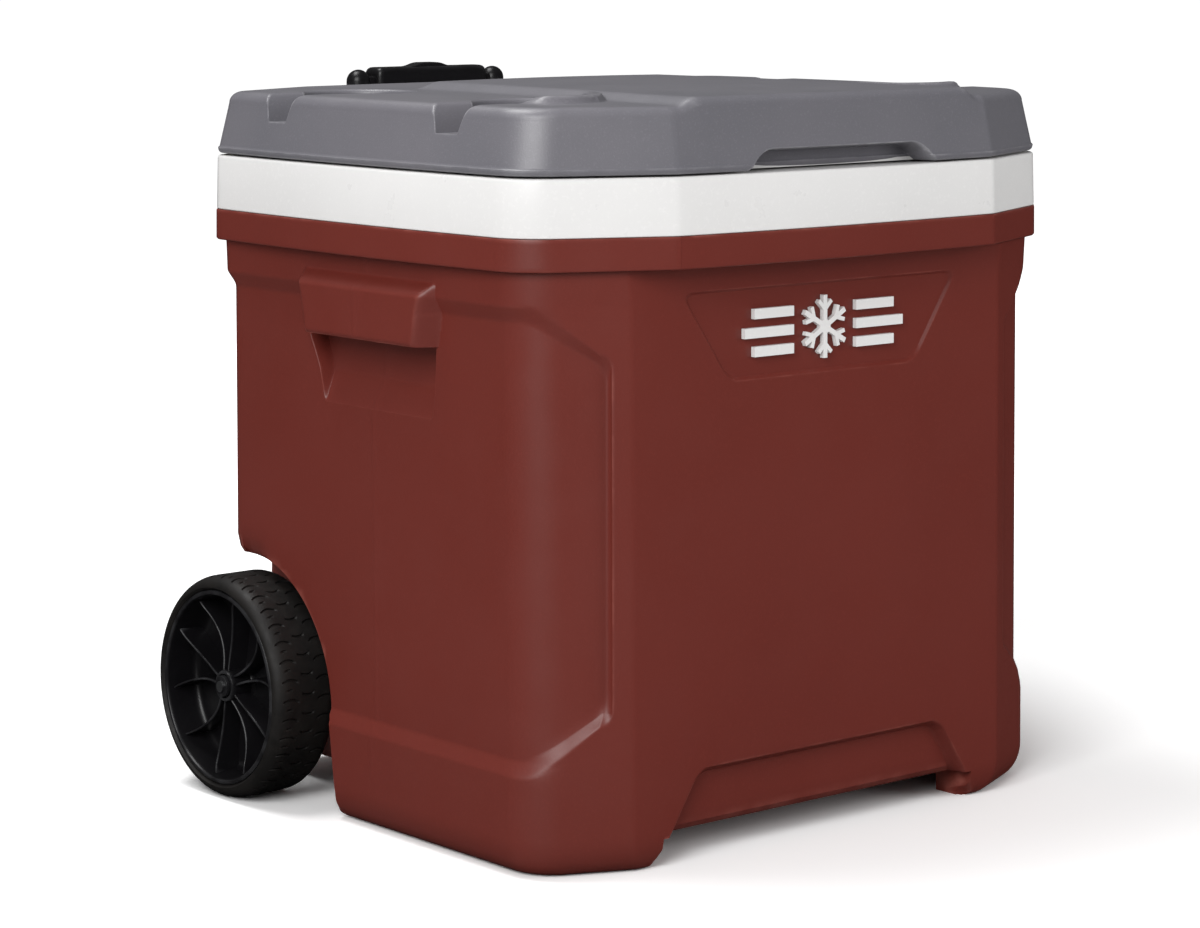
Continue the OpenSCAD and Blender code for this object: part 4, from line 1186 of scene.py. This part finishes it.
def soften_cad_nodes():
    """Small rounded edges on the mouldings and fasteners that are drawn from the CAD itself."""
    for name in SOFTENED:
        node = frame["nodes"][name]
        weld = node.modifiers.new("weld", "WELD")
        weld.merge_threshold = 0.00002
        soft = node.modifiers.new("edges", "BEVEL")
        soft.width = 0.00035
        soft.segments = 3
        soft.limit_method = "ANGLE"
        soft.angle_limit = math.radians(35)
        soft.use_clamp_overlap = True


def dress_cad_nodes():
    """Every CAD node gets the material of its slot; rods along X get the steel with streaks along X."""
    for part in frame["record"]["subparts"]:
        node = frame["nodes"][part["node"]]
        material = STEEL_X if part["node"] in ALONG_X else SLOT_MATERIAL[part["material_slot"]]
        if not node.material_slots:
            node.data.materials.append(material)
        for slot in node.material_slots:
            slot.material = material


# ---- pieces


def add(piece, body, slot, *nodes, material=None):
    """Puts a piece on its body, in its slot's material, in place of the CAD nodes it stands for."""
    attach(piece, body)
    piece.data.materials.clear()
    piece.data.materials.append(material or SLOT_MATERIAL[slot])
    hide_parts(*nodes)
    return piece


def build():
    add(finish_body(make_body()), "chest", "red_shell", "body_shell")
    add(make_liner(), "chest", "white_plastic", "body_liner")
    add(make_lid(), "lid", "grey_lid", "lid_shell")
    add(make_body_foam(), "chest", "foam", "body_foam")
    add(make_lid_foam(), "lid", "foam", "lid_foam")
    add(make_grip(), "handle_top_stage", "black_plastic", "handle_grip", "grip_end_caps")
    add(make_button(), "handle_release", "black_plastic", "release_button")
    spring = add(make_spring(), "handle_top_stage", "steel", "button_spring", material=STEEL_X)
    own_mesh(spring)
    for side, name in ((-1, "left"), (1, "right")):
        add(make_rim(name + "_rim", side), name + "_wheel", "black_plastic", name + "_wheel_rim")
        add(make_tyre(name + "_tread", side), name + "_wheel", "tyre_rubber", name + "_tyre")


# ---- stage, light and camera


# How bright the surroundings are: for diffuse light, in the camera's view, and in reflections
AMBIENT = 0.30
AMBIENT_SEEN = 1.0
AMBIENT_MIRRORED = 0.08
FLOOR_WHITE = 0.62
FLOOR_MIRRORED = 0.06
# The camera sees the floor whiter with distance from the middle, from NEAR to AWAY
NEAR, AWAY = 0.7, 2.6
WHITE_NEAR, WHITE_AWAY = 1.24, 3.45
FAR = 300


def make_stage():
    """Pale floor that a mirror direction sees as a dark studio, so black plastic stays black."""
    corners = [(-FAR, -FAR, 0), (FAR, -FAR, 0), (FAR, FAR, 0), (-FAR, FAR, 0)]
    floor = mesh_piece("floor", corners, [(0, 1, 2, 3)])
    s = Shader(bpy.data.materials.new("pale_floor"))
    rays = s.add("ShaderNodeLightPath").outputs
    away = s.add("ShaderNodeVectorMath", {0: s.place}, operation="LENGTH").outputs["Value"]
    white = s.remap(away, NEAR, AWAY, WHITE_NEAR, WHITE_AWAY)
    seen = s.math("MULTIPLY", rays["Is Camera Ray"], s.math("SUBTRACT", white, FLOOR_WHITE))
    level = s.remap(rays["Is Glossy Ray"], 0, 1, 1.0, FLOOR_MIRRORED)
    shade = s.math("MULTIPLY", s.math("ADD", seen, FLOOR_WHITE), level)
    tone = s.add("ShaderNodeCombineColor", {0: shade, 1: shade, 2: shade})
    diffuse = s.add("ShaderNodeBsdfDiffuse", {"Color": tone.outputs["Color"]})
    s.feed(s.nodes["Material Output"].inputs["Surface"], diffuse.outputs["BSDF"])
    floor.data.materials.append(s.owner)


def softbox(name, place_at, aim, size, power, mirrored=True):
    data = bpy.data.lights.new(name, "AREA")
    data.shape = "RECTANGLE"
    data.size, data.size_y = size
    data.energy = power
    lamp = bpy.data.objects.new(name, data)
    bpy.context.scene.collection.objects.link(lamp)
    lamp.location = place_at
    lamp.rotation_mode = "QUATERNION"
    lamp.rotation_quaternion = (Vector(aim) - Vector(place_at)).to_track_quat("-Z", "Y")
    lamp.visible_glossy = mirrored


def light_it():
    """White surroundings that are dim in mirror directions, a key at the left front and soft fills."""
    s = Shader(bpy.data.worlds.new("studio"))
    rays = s.add("ShaderNodeLightPath").outputs
    ambient = s.remap(rays["Is Glossy Ray"], 0, 1, AMBIENT, AMBIENT_MIRRORED)
    background = s.nodes["Background"].inputs
    s.feed(background["Color"], (1, 1, 1, 1))
    s.feed(background["Strength"], s.remap(rays["Is Camera Ray"], 0, 1, ambient, AMBIENT_SEEN))
    bpy.context.scene.world = s.owner
    middle = (0, 0, 0.25)
    softbox("key", (-2.05, -1.3, 1.55), middle, (1.4, 1.5), 54)
    softbox("fill", (1.9, -2.2, 0.9), middle, (1.8, 1.2), 33, mirrored=False)
    softbox("top", (-0.5, 0.7, 2.6), middle, (1.4, 0.9), 40)
    bpy.context.scene.view_settings.view_transform = "Standard"


# The camera that matches the photograph: millimetres of lens, share of shift, place and turn
LENS = 102.84
SHIFT = -0.43125
SHIFT_ENDS = 0.05
CAMERA_AT = (-1.6589, -1.9377 + MID_Y / 1000, 0.6184)
CAMERA_TURN = -40.05


def make_camera():
    """Level camera with a vertical shift, as a view camera has. The shift belongs to this one view:
    it fades out when the camera is moved away from its place."""
    data = bpy.data.cameras.new("camera")
    data.lens = LENS
    data.sensor_width = 36
    data.clip_end = 2 * FAR
    camera = bpy.data.objects.new("camera", data)
    place_mark = bpy.data.objects.new("camera_place", None)
    for thing in (camera, place_mark):
        bpy.context.scene.collection.objects.link(thing)
        thing.location = CAMERA_AT
    camera.rotation_euler = (math.radians(90), 0, math.radians(CAMERA_TURN))
    bpy.context.scene.camera = camera
    curve = data.driver_add("shift_y")
    for start in list(curve.modifiers):
        curve.modifiers.remove(start)
    curve.driver.type = "AVERAGE"
    moved = curve.driver.variables.new()
    moved.type = "LOC_DIFF"
    moved.targets[0].id = camera
    moved.targets[1].id = place_mark
    for distance, shift in ((0, SHIFT), (SHIFT_ENDS, 0)):
        curve.keyframe_points.insert(distance, shift).interpolation = "LINEAR"


dress_cad_nodes()
soften_cad_nodes()
build()
make_stage()
light_it()
make_camera()
